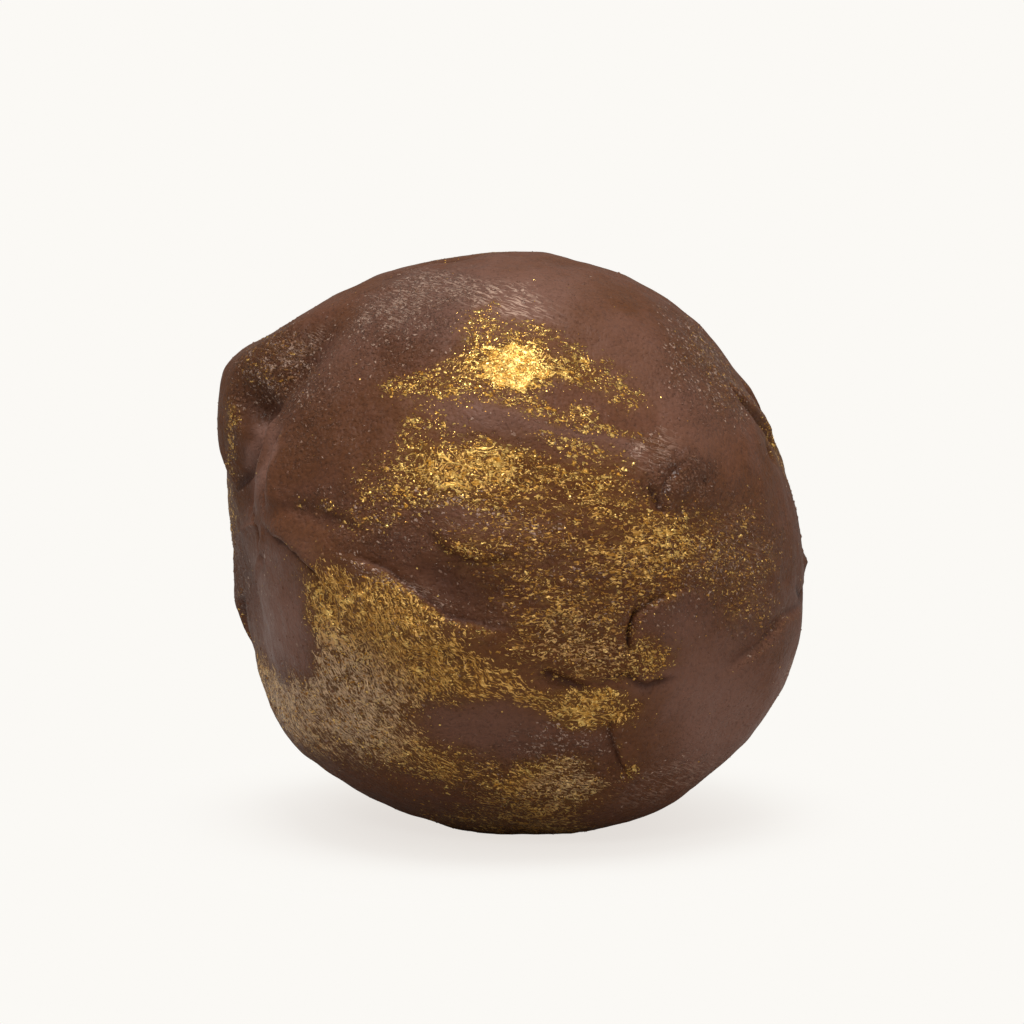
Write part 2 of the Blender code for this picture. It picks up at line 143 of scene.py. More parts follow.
# Flats are where a palm or the table pressed: the distance is from the ball's centre.
FLATS = (
    Flat("ear_top", "front", -8.3, 14.0, 16.30, 0.9),
    Flat("left_side", "front", -15.3, -2.8, 14.25, 1.5),
    Flat("temple", "front", -7.0, 7.0, 15.35, 1.0),
    Flat("forehead_right", "front", 6.5, 8.6, 15.40, 1.0),
    Flat("front_middle", "front", 2.0, 1.6, 14.95, 1.0),
    Flat("right_front", "front", 11.2, -0.4, 15.40, 0.9),
    Flat("lower_left", "front", -7.6, -6.8, 15.60, 1.0),
    Flat("chin", "front", 1.0, -11.4, 15.40, 0.9),
    Flat("low_right_front", "front", 9.6, -8.4, 15.75, 0.9),
    Flat("back_press", "back", -2.0, 3.0, 14.75, 1.8),
    Flat("back_low_press", "back", 9.0, -9.0, 15.2, 1.8),
    Flat("left_back_press", "left", -9.5, 2.0, 15.2, 1.6),
)

# Lips are edges where one skin of chocolate lies over another. The raised skin is on the left
# of the path's travel, and its height dies away over the reach.
LIPS = (
    Lip("channel_edge", "front",
        ((-12.4, 6.4), (-12.75, 5.2), (-12.95, 4.0), (-13.15, 2.8), (-13.4, 1.5)),
        0.36, 0.40, 1.8, 0.20, 0.12),
    Lip("under_ear", "front",
        ((-13.6, 1.0), (-12.7, 0.4), (-11.7, -0.35), (-10.9, -1.2), (-10.3, -2.0), (-9.9, -3.2)),
        0.32, 0.22, 3.4, 0.18, 0.16),
    Lip("gold_ridge", "front",
        ((0.6, -5.1), (-0.95, -4.75), (-2.45, -4.3), (-3.55, -3.9), (-4.6, -3.3), (-5.4, -2.7),
         (-6.95, -1.9), (-8.1, -1.3), (-9.2, -0.5)),
        0.27, 0.10, 4.6, 0.17, 0.14),
    Lip("brow_ridge", "front",
        ((-5.2, 1.0), (-3.9, 0.0), (-2.95, -0.45), (-2.1, -0.75), (-1.15, -0.85), (0.6, -0.7)),
        0.15, 0.10, 4.4, 0.16, 0.10),
    Lip("patch_edge", "front",
        ((9.9, -2.4), (8.15, -3.0), (7.2, -3.7), (6.7, -4.3), (6.6, -5.2), (6.7, -6.4)),
        0.16, 0.14, 3.0, 0.12, 0.08),
    Lip("low_flap", "front",
        ((7.6, -8.7), (5.95, -9.8), (5.75, -10.9), (6.1, -11.8), (6.5, -12.4), (6.3, -13.1)),
        0.22, 0.10, 3.4, 0.13, 0.14),
    Lip("scab_edge", "front",
        ((9.6, 4.3), (8.85, 3.75), (8.4, 3.0), (8.5, 2.1)),
        0.11, 0.12, 1.9, 0.16, 0.06),
    Lip("right_lip", "front",
        ((11.6, 9.0), (12.7, 7.6), (13.7, 6.4), (14.35, 5.4), (14.75, 4.7)),
        0.28, 0.12, 1.8, 0.22, 0.14),
    Lip("right_fold", "front",
        ((15.9, -3.0), (15.1, -4.2), (14.3, -5.0), (13.4, -5.85), (12.4, -6.7), (10.9, -7.5)),
        0.17, 0.12, 3.0, 0.30, 0.08),
    Lip("back_skin", "back",
        ((-9.5, 4.0), (-6.5, 6.0), (-3.5, 6.2), (-0.8, 4.9), (1.8, 4.6), (4.4, 6.0)),
        0.36, 0.22, 3.6, 0.25, 0.14),
    Lip("back_flap", "back",
        ((7.2, -0.4), (5.0, -2.8), (4.4, -5.0), (5.2, -7.2), (7.2, -8.6)),
        0.38, 0.22, 3.4, 0.25, 0.14),
    Lip("back_low_lip", "back",
        ((-9.0, -6.0), (-6.0, -7.4), (-3.4, -7.0), (-0.8, -8.1)),
        0.30, 0.20, 2.8, 0.25, 0.10),
    Lip("right_side_skin", "right",
        ((2.0, 9.8), (4.2, 7.0), (5.2, 4.6), (7.0, 2.8), (9.6, 2.0)),
        0.32, 0.20, 3.4, 0.25, 0.12),
    Lip("right_side_low_skin", "right",
        ((8.4, -7.0), (5.4, -5.8), (3.0, -6.4), (0.8, -8.4)),
        0.28, 0.18, 2.8, 0.25, 0.10),
    Lip("left_side_skin", "left",
        ((-8.0, 8.4), (-4.8, 6.0), (-2.6, 6.3), (0.2, 4.8), (1.6, 1.8)),
        0.36, 0.24, 3.2, 0.25, 0.12),
    Lip("left_side_flap", "left",
        ((-2.4, -9.2), (-4.0, -6.8), (-3.4, -4.4), (-0.6, -2.7)),
        0.34, 0.20, 3.0, 0.25, 0.12),
    Lip("crown_fold", "top",
        ((-4.6, 6.9), (-1.2, 5.2), (1.8, 5.8), (4.6, 4.4), (6.6, 1.2)),
        0.26, 0.14, 3.2, 0.28, 0.10),
)

# Creases are grooves, or rounded ridges where the depth is below zero.
CREASES = (
    Crease("ear_valley", "front",
           ((-8.6, 12.8), (-10.2, 11.3), (-11.6, 9.7), (-12.8, 8.2), (-13.7, 6.8), (-14.3, 5.2),
            (-14.7, 3.6), (-15.0, 2.0)),
           1.00, 1.45),
    Crease("ear_channel", "front",
           ((-13.4, 8.2), (-13.8, 6.9), (-14.1, 5.4), (-14.35, 3.8), (-14.5, 1.6)),
           0.95, 0.75),
    Crease("ear_groove", "front",
           ((-14.2, 6.6), (-14.5, 5.4), (-14.85, 4.0), (-15.15, 2.2)),
           0.40, 0.26),
    Crease("ear_rim", "front",
           ((-13.6, 10.2), (-14.7, 9.0), (-15.35, 7.5), (-15.5, 5.6), (-15.4, 4.0), (-15.2, 2.4)),
           -0.12, 0.75),
    Crease("ear_ribbon", "front",
           ((-12.8, 7.2), (-13.25, 6.2), (-13.65, 5.0), (-13.95, 3.8), (-14.2, 2.5)),
           -0.42, 0.36),
    Crease("waist_crease", "front",
           ((-13.5, 1.2), (-12.65, 1.75), (-11.5, 1.9), (-10.0, 1.6), (-8.8, 1.1), (-7.4, 0.2)),
           0.30, 0.50),
    Crease("waist_hollow", "front",
           ((-13.0, 3.0), (-11.6, 2.6), (-10.0, 2.3), (-8.0, 1.4)),
           0.30, 1.40),
    Crease("pinch_line", "front",
           ((-13.6, 1.2), (-13.5, 0.1), (-13.75, -0.9), (-13.85, -2.4)),
           -0.18, 0.22),
    Crease("pinch_arm", "front",
           ((-13.3, 1.2), (-14.2, 0.85), (-15.2, 0.4)),
           -0.18, 0.22),
    Crease("patch_slit", "front",
           ((6.9, -3.4), (6.6, -4.3), (6.55, -6.0)),
           0.28, 0.15),
    Crease("belly_slot", "front",
           ((1.4, -7.0), (3.05, -7.6), (4.7, -7.8)),
           0.50, 0.36),
    Crease("belly_crack", "front",
           ((4.3, -7.7), (5.4, -7.4), (6.1, -7.3), (6.8, -7.6), (7.75, -7.7), (9.4, -7.3)),
           0.30, 0.28),
    Crease("scab_pit", "front",
           ((7.3, 3.2), (7.8, 2.6), (8.2, 2.0), (8.7, 1.7)),
           0.34, 0.24),
    Crease("scab_crack", "front",
           ((8.3, 4.5), (9.3, 4.9), (10.2, 4.6), (10.9, 3.9), (11.1, 3.0)),
           0.06, 0.24),
    Crease("belly_fold", "front",
           ((-5.6, -6.2), (-4.0, -5.9), (-2.4, -6.4), (-0.9, -7.1)),
           0.20, 0.42),
    Crease("belly_roll", "front",
           ((-1.2, -5.4), (0.8, -6.0), (2.6, -6.2), (4.4, -5.9)),
           -0.10, 0.50),
    Crease("mass_fold", "front",
           ((-8.8, -4.6), (-7.9, -5.6), (-7.6, -6.9), (-8.3, -8.2)),
           0.16, 0.40),
    Crease("short_tuck", "front",
           ((-9.9, -2.2), (-9.6, -3.4), (-9.4, -4.6)),
           0.16, 0.30),
    Crease("between_shines", "front",
           ((-5.5, 6.6), (-2.5, 6.1), (1.0, 5.9), (4.5, 5.2), (7.0, 4.6)),
           0.12, 0.80),
    Crease("back_seam", "back",
           ((-2.4, 12.4), (-0.6, 9.2), (0.4, 6.9), (0.2, 4.8)),
           0.30, 0.36),
    Crease("back_crack", "back",
           ((-9.0, 0.8), (-6.2, -0.6), (-4.0, -0.3), (-1.4, -1.6)),
           0.34, 0.34),
    Crease("left_side_seam", "left",
           ((4.6, 9.2), (6.2, 5.4), (6.0, 2.6), (7.4, -0.8)),
           0.32, 0.40),
    Crease("right_side_crack", "right",
           ((-5.2, -1.6), (-2.4, -2.6), (-0.6, -2.1), (2.0, -3.4)),
           0.30, 0.32),
    Crease("crown_crack", "top",
           ((-7.8, -1.9), (-5.0, -0.4), (-3.2, -0.8), (-0.2, 0.8)),
           0.24, 0.34),
)

# Pits are small dents, or nubs where the depth is below zero.
PITS = (
    Pit("ear_recess", "front", -13.9, 7.1, 0.65, 0.95),
    Pit("pinch_hole", "front", -14.2, 1.4, 0.50, 0.32),
    Pit("hollow_under_lip", "front", -12.2, -2.4, 0.30, 1.60),
    Pit("hollow_between_ridges", "front", -3.4, -2.1, 0.40, 1.45),
    Pit("hollow_between_ridges_end", "front", -1.2, -3.1, 0.26, 1.20),
    Pit("gold_dimple", "front", -4.55, -6.55, 0.22, 0.45),
    Pit("scab", "front", 9.75, 4.1, -0.24, 1.20),
    Pit("scab_hole", "front", 10.75, 3.25, 0.24, 0.26),
    Pit("scab_lump", "front", 8.9, 2.9, -0.16, 0.50),
    Pit("scab_low_lump", "front", 10.3, 2.2, -0.14, 0.60),
    Pit("pale_bump", "front", 8.1, 4.9, -0.14, 0.60),
    Pit("right_cavity", "front", 14.2, 4.8, 0.62, 0.62),
    Pit("low_hollow", "front", -0.6, -10.6, 0.22, 2.10),
    Pit("right_nub", "front", 16.2, -1.2, -0.24, 0.30),
    Pit("left_nub", "front", -13.3, -9.35, -0.20, 0.28),
    Pit("back_thumb_dent", "back", 2.5, 0.5, 0.40, 1.80),
    Pit("back_nub", "back", -3.6, 3.0, -0.20, 0.55),
    Pit("back_hole", "back", 8.2, 2.6, 0.32, 0.45),
    Pit("left_side_dent", "left", 2.4, -2.6, 0.34, 1.60),
    Pit("right_side_dent", "right", 3.2, -1.4, 0.30, 1.50),
    Pit("crown_dimple", "top", 3.0, -2.0, 0.20, 1.00),
)

# Patches of a finish: half their width and height in millimetres, the degrees they turn, and how
# full they are at the middle.
Patch = namedtuple("Patch", "name view x z wide high turn amount")

# Gold specks that the brush left.
SPECK_PATCHES = (
    Patch("shine_core", "front", 0.1, 9.8, 2.4, 1.9, -10, 1.10),
    Patch("shine_core_left", "front", -1.8, 8.9, 2.0, 0.9, 8, 0.95),
    Patch("shine_crown", "front", -0.9, 11.2, 1.7, 1.2, -30, 0.70),
    Patch("shine_crown_right", "front", 2.0, 11.0, 2.2, 0.8, -20, 0.56),
    Patch("shine_left_arm", "front", -4.4, 8.6, 2.7, 0.9, 12, 0.95),
    Patch("shine_right_arm", "front", 3.4, 9.6, 2.2, 0.6, -8, 0.90),
    Patch("shine_right_hand", "front", 5.3, 8.4, 2.2, 0.8, -16, 0.66),
    Patch("speckle_row_top", "front", 1.6, 7.3, 2.6, 0.38, -12, 0.62),
    Patch("speckle_row", "front", 3.6, 6.6, 3.8, 0.42, -17, 0.82),
    Patch("speckle_row_low", "front", 2.8, 5.6, 3.6, 0.40, -20, 0.66),
    Patch("speckle_row_left", "front", -2.6, 7.4, 2.2, 0.7, 0, 0.32),
    Patch("second_shine", "front", -2.3, 4.2, 2.7, 1.5, 4, 1.25),
    Patch("second_shine_low", "front", -2.8, 2.9, 3.4, 1.2, 4, 0.62),
    Patch("second_shine_right", "front", 3.0, 3.6, 4.4, 1.0, -10, 0.64),
    Patch("second_shine_left", "front", -6.6, 2.9, 2.6, 1.7, 30, 0.58),
    Patch("second_shine_top", "front", -4.6, 6.0, 2.2, 1.3, 30, 0.56),
    Patch("second_shine_end", "front", 5.6, 2.2, 2.0, 0.9, -20, 0.50),
    Patch("waist_line", "front", -9.4, 1.5, 3.0, 0.3, -14, 0.35),
    Patch("right_speckle", "front", 8.7, 0.3, 2.5, 1.4, 10, 0.56),
    Patch("middle_band", "front", 2.6, -0.6, 6.4, 2.2, -8, 0.24),
    Patch("brow_line", "front", -2.3, -0.45, 1.6, 0.26, -16, 1.00),
    Patch("ridge_line", "front", -5.2, -2.9, 4.0, 0.34, -28, 0.85),
    Patch("left_film_top", "front", -9.9, -3.3, 1.5, 1.4, -40, 0.34),
    Patch("left_fringe", "front", -10.6, -3.9, 2.8, 0.7, -52, 0.78),
    Patch("left_mass", "front", -6.9, -5.2, 4.8, 2.6, -38, 0.30),
    Patch("left_mass_low", "front", -9.9, -8.4, 3.4, 2.6, -45, 0.34),
    Patch("left_mass_foot", "front", -5.2, -11.0, 3.2, 2.0, -30, 0.44),
    Patch("tangle", "front", 4.3, -8.9, 3.0, 1.0, -8, 0.80),
    Patch("chin_dust", "front", 1.8, -13.2, 3.0, 1.5, 0, 0.55),
    Patch("plate_dust", "front", 7.8, -6.1, 1.8, 0.9, 20, 0.78),
    Patch("belly_dust", "front", 3.6, -5.3, 3.6, 1.9, -10, 0.34),
    Patch("brow_right_dust", "front", 10.9, 9.8, 1.6, 2.8, 38, 0.16),
    Patch("ear_edge_dust", "front", -15.4, 5.7, 0.35, 2.1, 4, 0.85),
    Patch("right_dust", "front", 12.4, -1.6, 2.4, 3.2, 10, 0.24),
    Patch("flap_edge_dust", "front", 6.3, -12.3, 0.5, 0.8, -20, 0.70),
    Patch("back_shine", "back", 2.0, 6.5, 4.5, 1.8, 12, 0.80),
    Patch("back_shine_low", "back", -4.5, 1.5, 4.0, 1.6, -10, 0.60),
    Patch("back_sweep", "back", 4.0, -5.5, 5.2, 2.8, 30, 0.48),
    Patch("back_dust", "back", -8.0, -7.0, 3.0, 2.4, 0, 0.40),
    Patch("right_side_sweep", "right", 3.0, 5.5, 4.0, 1.6, -25, 0.55),
    Patch("right_side_dust", "right", 5.0, -5.0, 3.6, 2.4, 15, 0.45),
    Patch("left_side_sweep", "left", -4.0, 1.0, 4.2, 2.0, 20, 0.55),
    Patch("left_side_low", "left", 2.5, -8.0, 4.0, 2.2, -10, 0.45),
    Patch("crown_dust", "top", -2.0, 2.5, 3.4, 2.0, 20, 0.34),
    Patch("under_dust", "under", 0.0, 4.0, 5.0, 3.0, 0, 0.35),
)

# Gold so thick that it hides the chocolate.
CORE_PATCHES = (
    Patch("shine", "front", 0.2, 9.7, 2.3, 1.60, -14, 1.14),
    Patch("shine_tail", "front", 2.2, 9.3, 1.9, 0.42, 6, 0.95),
    Patch("back_shine", "back", 2.4, 6.7, 1.6, 0.9, 12, 1.00),
)

# Gold brushed on in hairs, over a thin rust-brown film.
FILM_PATCHES = (
    Patch("shine_glow", "front", 0.2, 9.7, 3.4, 1.1, 0, 0.60),
    Patch("second_glow", "front", -2.2, 3.9, 2.6, 1.3, 4, 0.70),
    Patch("left_mass", "front", -6.4, -5.2, 5.4, 2.9, -36, 0.90),
    Patch("left_mass_top", "front", -9.8, -3.2, 1.5, 1.5, -40, 0.75),
    Patch("left_mass_low", "front", -10.2, -8.3, 3.8, 3.0, -45, 0.78),
    Patch("foot", "front", -4.6, -10.9, 3.8, 1.9, -25, 0.66),
    Patch("under_mass", "front", -1.6, -7.6, 3.4, 1.3, -18, 0.62),
    Patch("tangle", "front", 4.2, -8.9, 3.1, 1.0, -8, 0.75),
    Patch("chin", "front", 1.8, -13.4, 3.6, 1.7, 0, 0.60),
    Patch("back_sweep", "back", 4.0, -5.6, 5.2, 2.8, 30, 0.80),
    Patch("left_low", "left", 2.5, -8.0, 3.8, 2.2, -10, 0.60),
    Patch("right_low", "right", 4.6, -4.6, 3.8, 2.4, 15, 0.65),
    Patch("under", "under", 0.0, 4.0, 5.0, 3.0, 0, 0.35),
)

# Gold that lies in level rows of grains, over the same film.
ROW_PATCHES = (
    Patch("second_wide", "front", 1.0, 3.2, 6.6, 1.7, -6, 0.60),
    Patch("middle", "front", 3.4, -0.4, 6.0, 2.4, -6, 0.66),
    Patch("middle_right", "front", 8.2, 0.2, 2.8, 1.7, 8, 0.95),
    Patch("middle_low", "front", 6.4, -2.0, 2.8, 1.4, -10, 0.60),
    Patch("belly", "front", 3.0, -4.6, 4.4, 2.6, -14, 0.85),
    Patch("belly_left", "front", -0.6, -3.4, 1.6, 1.4, 0, 0.60),
    Patch("plate", "front", 7.8, -6.1, 1.6, 0.8, 20, 0.70),
    Patch("ear_side", "front", -15.2, 6.2, 0.8, 2.4, 4, 0.50),
    Patch("ear_top", "front", -12.6, 9.8, 2.0, 1.6, 30, 0.30),
    Patch("brow_right", "front", 11.4, 9.4, 1.6, 3.0, 38, 0.26),
    Patch("right", "front", 12.6, -1.6, 2.2, 3.4, 10, 0.40),
    Patch("back_band", "back", 1.0, 3.6, 6.0, 2.6, 10, 0.75),
    Patch("left_band", "left", -3.8, 1.0, 4.4, 2.1, 20, 0.70),
    Patch("right_band", "right", 2.0, 4.4, 4.4, 2.2, -20, 0.70),
)

# Where the gold looks ashen, more beige than yellow.
ASHEN_PATCHES = (
    Patch("low_left", "front", -9.2, -8.6, 4.0, 2.8, -40, 1.00),
    Patch("belly_low", "front", 4.0, -5.6, 3.0, 1.4, 0, 0.30),
    Patch("foot_right", "front", 3.6, -13.0, 2.0, 1.4, 0, 0.60),
    Patch("back_low", "back", 5.0, -6.6, 3.0, 2.4, 20, 0.80),
    Patch("left_low", "left", 3.5, -9.0, 3.0, 2.0, 0, 0.80),
)

# Places that the brush missed or a finger wiped clean, smooth and satin.
BARE_PATCHES = (
    Patch("stripe", "front", -0.8, 6.9, 3.2, 0.6, -6, 0.75),
    Patch("hollow", "front", -3.2, -2.5, 2.2, 1.35, -26, 1.00),
    Patch("left_wipe", "front", -12.3, -5.0, 2.7, 1.4, -58, 1.20),
    Patch("under_lip_wipe", "front", -13.0, -1.8, 1.7, 1.3, -40, 0.90),
    Patch("low_wipe", "front", -2.0, -10.0, 3.3, 1.4, -6, 1.00),
    Patch("low_wipe_right", "front", 4.3, -11.2, 1.6, 1.2, 0, 0.30),
    Patch("right_low_wipe", "front", 10.0, -9.6, 3.0, 3.4, 0, 1.00),
    Patch("plate_wipe", "front", 9.8, -4.3, 1.7, 1.5, 0, 0.80),
    Patch("scab_wipe", "front", 10.8, 4.8, 2.2, 2.2, 0, 0.70),
    Patch("temple_wipe", "front", -9.5, 7.5, 2.8, 3.0, 40, 0.80),
    Patch("valley_wipe", "front", -8.6, -0.6, 1.6, 0.7, -28, 0.60),
    Patch("middle_dark", "front", 2.4, -1.1, 1.9, 0.8, -12, 0.50),
    Patch("middle_dark_low", "front", 0.6, -3.0, 1.8, 0.9, -30, 0.40),
)

# Rough places, where small warm-brown lumps stand on the coating.
ROUGH_PATCHES = (
    Patch("ear_top", "front", -12.4, 9.6, 2.6, 2.2, 35, 1.00),
    Patch("ear_front", "front", -15.2, 5.6, 0.8, 2.8, 0, 0.80),
    Patch("scab", "front", 9.4, 3.4, 1.9, 1.6, 0, 0.90),
    Patch("belly", "front", 3.0, -2.8, 6.2, 3.6, -10, 0.70),
    Patch("plate", "front", 9.4, -1.2, 3.4, 2.4, 20, 0.40),
    Patch("left_mass", "front", -6.8, -5.6, 5.4, 3.2, -38, 0.60),
    Patch("temple", "front", -8.4, 5.4, 2.2, 3.4, 30, 0.30),
    Patch("waist", "front", -8.4, 0.9, 4.6, 1.1, -20, 0.50),
    Patch("chin", "front", 1.2, -12.6, 5.2, 2.2, 0, 0.60),
    Patch("foot_left", "front", -10.0, -9.0, 3.4, 2.8, -45, 0.60),
    Patch("right_edge", "front", 12.6, -1.8, 2.6, 4.4, 10, 0.60),
    Patch("brow_right", "front", 10.6, 9.6, 2.4, 3.4, 38, 0.60),
    Patch("crown", "front", -5.0, 12.8, 4.0, 1.8, 20, 0.75),
    Patch("upper_left", "front", -6.4, 10.4, 3.4, 2.0, 30, 0.40),
    Patch("temple_low", "front", -11.0, 6.6, 1.6, 3.0, -10, 0.45),
    Patch("cheek", "front", -6.0, 1.4, 4.0, 1.4, -14, 0.50),
    Patch("back_patch", "back", 3.0, -2.0, 6.0, 4.0, 20, 0.70),
    Patch("back_left", "back", -8.0, 3.0, 3.0, 4.0, 0, 0.60),
    Patch("right_patch", "right", 2.0, 0.0, 5.0, 3.0, -20, 0.60),
    Patch("left_patch", "left", -2.0, -2.0, 5.0, 3.0, 20, 0.60),
)

# Warm brown, where the coating is thin.
WARM_PATCHES = (
    Patch("ear", "front", -12.8, 9.4, 3.0, 2.4, 35, 0.80),
    Patch("ear_front", "front", -15.2, 5.8, 0.8, 2.8, 0, 0.80),
    Patch("scab", "front", 10.0, 2.8, 3.4, 2.4, -20, 0.80),
    Patch("flap_lip", "front", 7.8, -11.8, 2.0, 1.8, 0, 0.55),
    Patch("under_ear_lip", "front", -11.2, 0.2, 2.2, 0.9, -40, 0.30),
    Patch("belly", "front", 0.2, -4.6, 3.4, 3.2, 0, 0.60),
    Patch("middle", "front", 2.8, -1.0, 4.2, 1.6, -8, 0.90),
    Patch("low_flap", "front", 7.4, -10.6, 1.8, 2.4, 10, 0.60),
    Patch("crown", "front", 6.0, 11.8, 5.0, 2.4, -25, 0.35),
    Patch("temple", "front", -9.6, 6.6, 2.6, 3.0, 20, 0.60),
    Patch("tangle_end", "front", 6.4, -8.4, 1.4, 1.0, 0, 0.60),
    Patch("cavity", "front", 14.4, 4.6, 1.0, 1.2, 0, 0.90),
    Patch("back", "back", -3.0, 4.0, 5.0, 3.0, 0, 0.60),
    Patch("back_low", "back", 5.0, -8.0, 3.0, 3.0, 0, 0.50),
    Patch("left", "left", 3.0, 5.0, 3.0, 3.0, 0, 0.50),
    Patch("right", "right", 5.0, 2.0, 4.0, 3.0, 0, 0.50),
)

# Mauve sheen: smooth coating painted a lighter mauve as its sheen, partly the coating's own tone.
MAUVE_SHEEN_PATCHES = (
    Patch("left_wipe", "front", -12.3, -5.2, 3.0, 1.9, -62, 1.10),
    Patch("under_lip", "front", -12.4, -1.6, 1.8, 1.8, -40, 0.60),
    Patch("ribbon", "front", -13.35, 4.4, 0.45, 2.9, -14, 1.00),
    Patch("temple", "front", -8.8, 9.8, 2.6, 1.3, 45, 0.36),
    Patch("stripe", "front", -0.4, 7.0, 4.2, 0.8, -8, 0.70),
    Patch("between_rows", "front", 4.6, 5.4, 3.0, 0.7, -18, 0.60),
    Patch("crown", "front", -1.6, 13.2, 5.0, 1.8, 4, 0.90),
    Patch("forehead", "front", 6.4, 9.8, 3.2, 2.0, -30, 0.45),
    Patch("middle", "front", -0.8, 1.3, 3.2, 0.8, -10, 0.80),
    Patch("low", "front", -1.6, -10.0, 3.4, 1.5, -6, 0.55),
    Patch("plate", "front", 9.0, -6.4, 2.2, 3.0, 0, 0.50),
    Patch("right_low", "front", 11.6, -9.8, 2.8, 3.4, -20, 1.00),
    Patch("right_fold", "front", 13.4, -4.6, 2.4, 1.2, 30, 0.60),
    Patch("right_shoulder", "front", 10.2, 6.6, 2.2, 2.4, 0, 0.40),
    Patch("back", "back", 3.0, 2.0, 5.0, 3.0, 0, 0.60),
    Patch("back_low", "back", -6.0, -8.0, 4.0, 3.0, 0, 0.80),
    Patch("left", "left", -6.0, 5.0, 4.0, 3.0, 0, 0.70),
    Patch("right", "right", -2.0, -8.0, 4.0, 4.0, 0, 0.80),
)

# Pale scratches, where something rubbed the coating.
SCUFF_PATCHES = (
    Patch("crown_scuff", "front", -1.6, 13.4, 3.2, 0.8, -12, 1.00),
    Patch("crown_scuff_left", "front", -6.0, 13.0, 2.8, 0.8, 26, 0.80),
    Patch("ear_top_scuff", "front", -11.6, 10.6, 1.6, 0.4, 40, 0.80),
    Patch("right_scuff", "front", 12.6, -0.6, 1.2, 2.2, 24, 0.60),
    Patch("pale_bump", "front", 7.6, 5.0, 1.6, 0.9, 20, 0.50),
    Patch("ridge_scuff", "front", -6.4, -2.1, 2.4, 0.3, -30, 0.80),
    Patch("low_right_scuff", "front", 8.4, -13.0, 2.6, 0.8, 24, 0.35),
    Patch("back_scuff", "back", -2.0, 9.0, 3.0, 0.8, 10, 0.70),
    Patch("left_scuff", "left", -6.0, -1.0, 2.6, 0.7, -20, 0.60),
    Patch("right_side_scuff", "right", -3.0, -6.0, 2.6, 0.7, 20, 0.60),
)

# Pale dust and painted glints: sugar-fine pale grains on the coating, which also stand for glints
# on its grains.
DUST_AND_GLINT_PATCHES = (
    Patch("crown_left", "front", -6.0, 13.0, 3.6, 1.4, 22, 0.72),
    Patch("crown_left_low", "front", -4.6, 11.4, 3.0, 1.9, 30, 0.38),
    Patch("crown", "front", -1.0, 13.6, 3.4, 0.7, -8, 0.50),
    Patch("ear_streak", "front", -6.8, 12.2, 2.2, 0.3, 36, 0.60),
    Patch("ear_top", "front", -10.6, 10.4, 1.4, 0.6, 40, 0.40),
    Patch("ear", "front", -12.6, 9.2, 2.6, 2.2, 35, 0.72),
    Patch("temple", "front", -8.9, 9.6, 2.2, 0.9, 50, 0.26),
    Patch("temple_low", "front", -10.6, 7.6, 1.2, 2.2, -30, 0.22),
    Patch("between_shines", "front", 1.5, 6.3, 4.2, 1.2, -12, 0.30),
    Patch("middle", "front", -1.6, 1.2, 4.6, 1.2, -14, 0.36),
    Patch("ridge", "front", -6.2, -2.2, 3.8, 0.7, -28, 0.80),
    Patch("waist", "front", -8.0, 1.2, 4.6, 1.0, -20, 0.42),
    Patch("right_front", "front", 11.0, -1.8, 2.6, 3.4, 20, 0.30),
    Patch("plate_edge", "front", 8.4, -3.6, 2.0, 1.2, 24, 0.34),
    Patch("pale_bump", "front", 7.2, 5.2, 1.4, 0.9, 20, 0.60),
    Patch("low_right", "front", 8.0, -12.6, 3.6, 1.3, 30, 0.30),
    Patch("low_left", "front", -9.6, -10.0, 3.4, 2.2, -40, 0.40),
    Patch("low_net", "front", 3.0, -10.8, 3.0, 1.4, 0, 0.74),
    Patch("below_second_shine", "front", -0.6, 1.7, 4.6, 1.0, -8, 0.50),
    Patch("left_wipe", "front", -12.8, -2.6, 1.4, 4.0, 0, 0.14),
    Patch("right_shoulder", "front", 10.6, 9.6, 1.9, 4.0, 36, 0.66),
    Patch("back", "back", -2.0, 6.0, 8.0, 4.0, 10, 0.26),
    Patch("back_low", "back", 2.0, -6.0, 7.0, 4.0, 0, 0.26),
    Patch("left", "left", 2.0, 0.0, 7.0, 6.0, 0, 0.22),
    Patch("right", "right", 0.0, 0.0, 7.0, 6.0, 0, 0.22),
)

# The ragged edge of a patch, and how far it strays.
RAGGED_SIZES = (2.6 * MM, 0.9 * MM)
RAGGED_REACHES = (0.9, 0.45)

# The lumps of the specks' clumps, of gold on an edge, of the coating's broad and small bumps, of
# the ripples under the rows, and of the brush's strokes. Painted shade is full in a hollow
# HOLLOW_DEPTH deep.
CLUMP_SIZE = 0.8 * MM
EDGE_CLUMP_SIZE = 1.0 * MM
BUMP_SIZES = (1.5 * MM, 0.65 * MM)
RIPPLE_SIZE = 0.42 * MM
STROKE_SIZE = 0.75 * MM
HOLLOW_DEPTH = 0.5 * MM

PATCHES = {
    "specks": SPECK_PATCHES,
    "core": CORE_PATCHES,
    "film": FILM_PATCHES,
    "rows": ROW_PATCHES,
    "ashen": ASHEN_PATCHES,
    "bare": BARE_PATCHES,
    "rough": ROUGH_PATCHES,
    "warm": WARM_PATCHES,
    "mauve_sheen": MAUVE_SHEEN_PATCHES,
    "scuff": SCUFF_PATCHES,
    "dust": DUST_AND_GLINT_PATCHES,
}

# Lip edges that catch gold, with a painted pale highlight along them, and those whose lower side
# was wiped clean.
GILDED_EDGES = {"gold_ridge": 0.80, "brow_ridge": 0.60, "low_flap": 0.62, "patch_edge": 0.45,
                "under_ear": 0.30, "channel_edge": 0.30, "back_skin": 0.70, "back_flap": 0.60,
                "right_side_skin": 0.60, "left_side_flap": 0.60, "right_fold": 0.30}
WIPED_BELOW = ("gold_ridge", "back_flap", "left_side_flap")
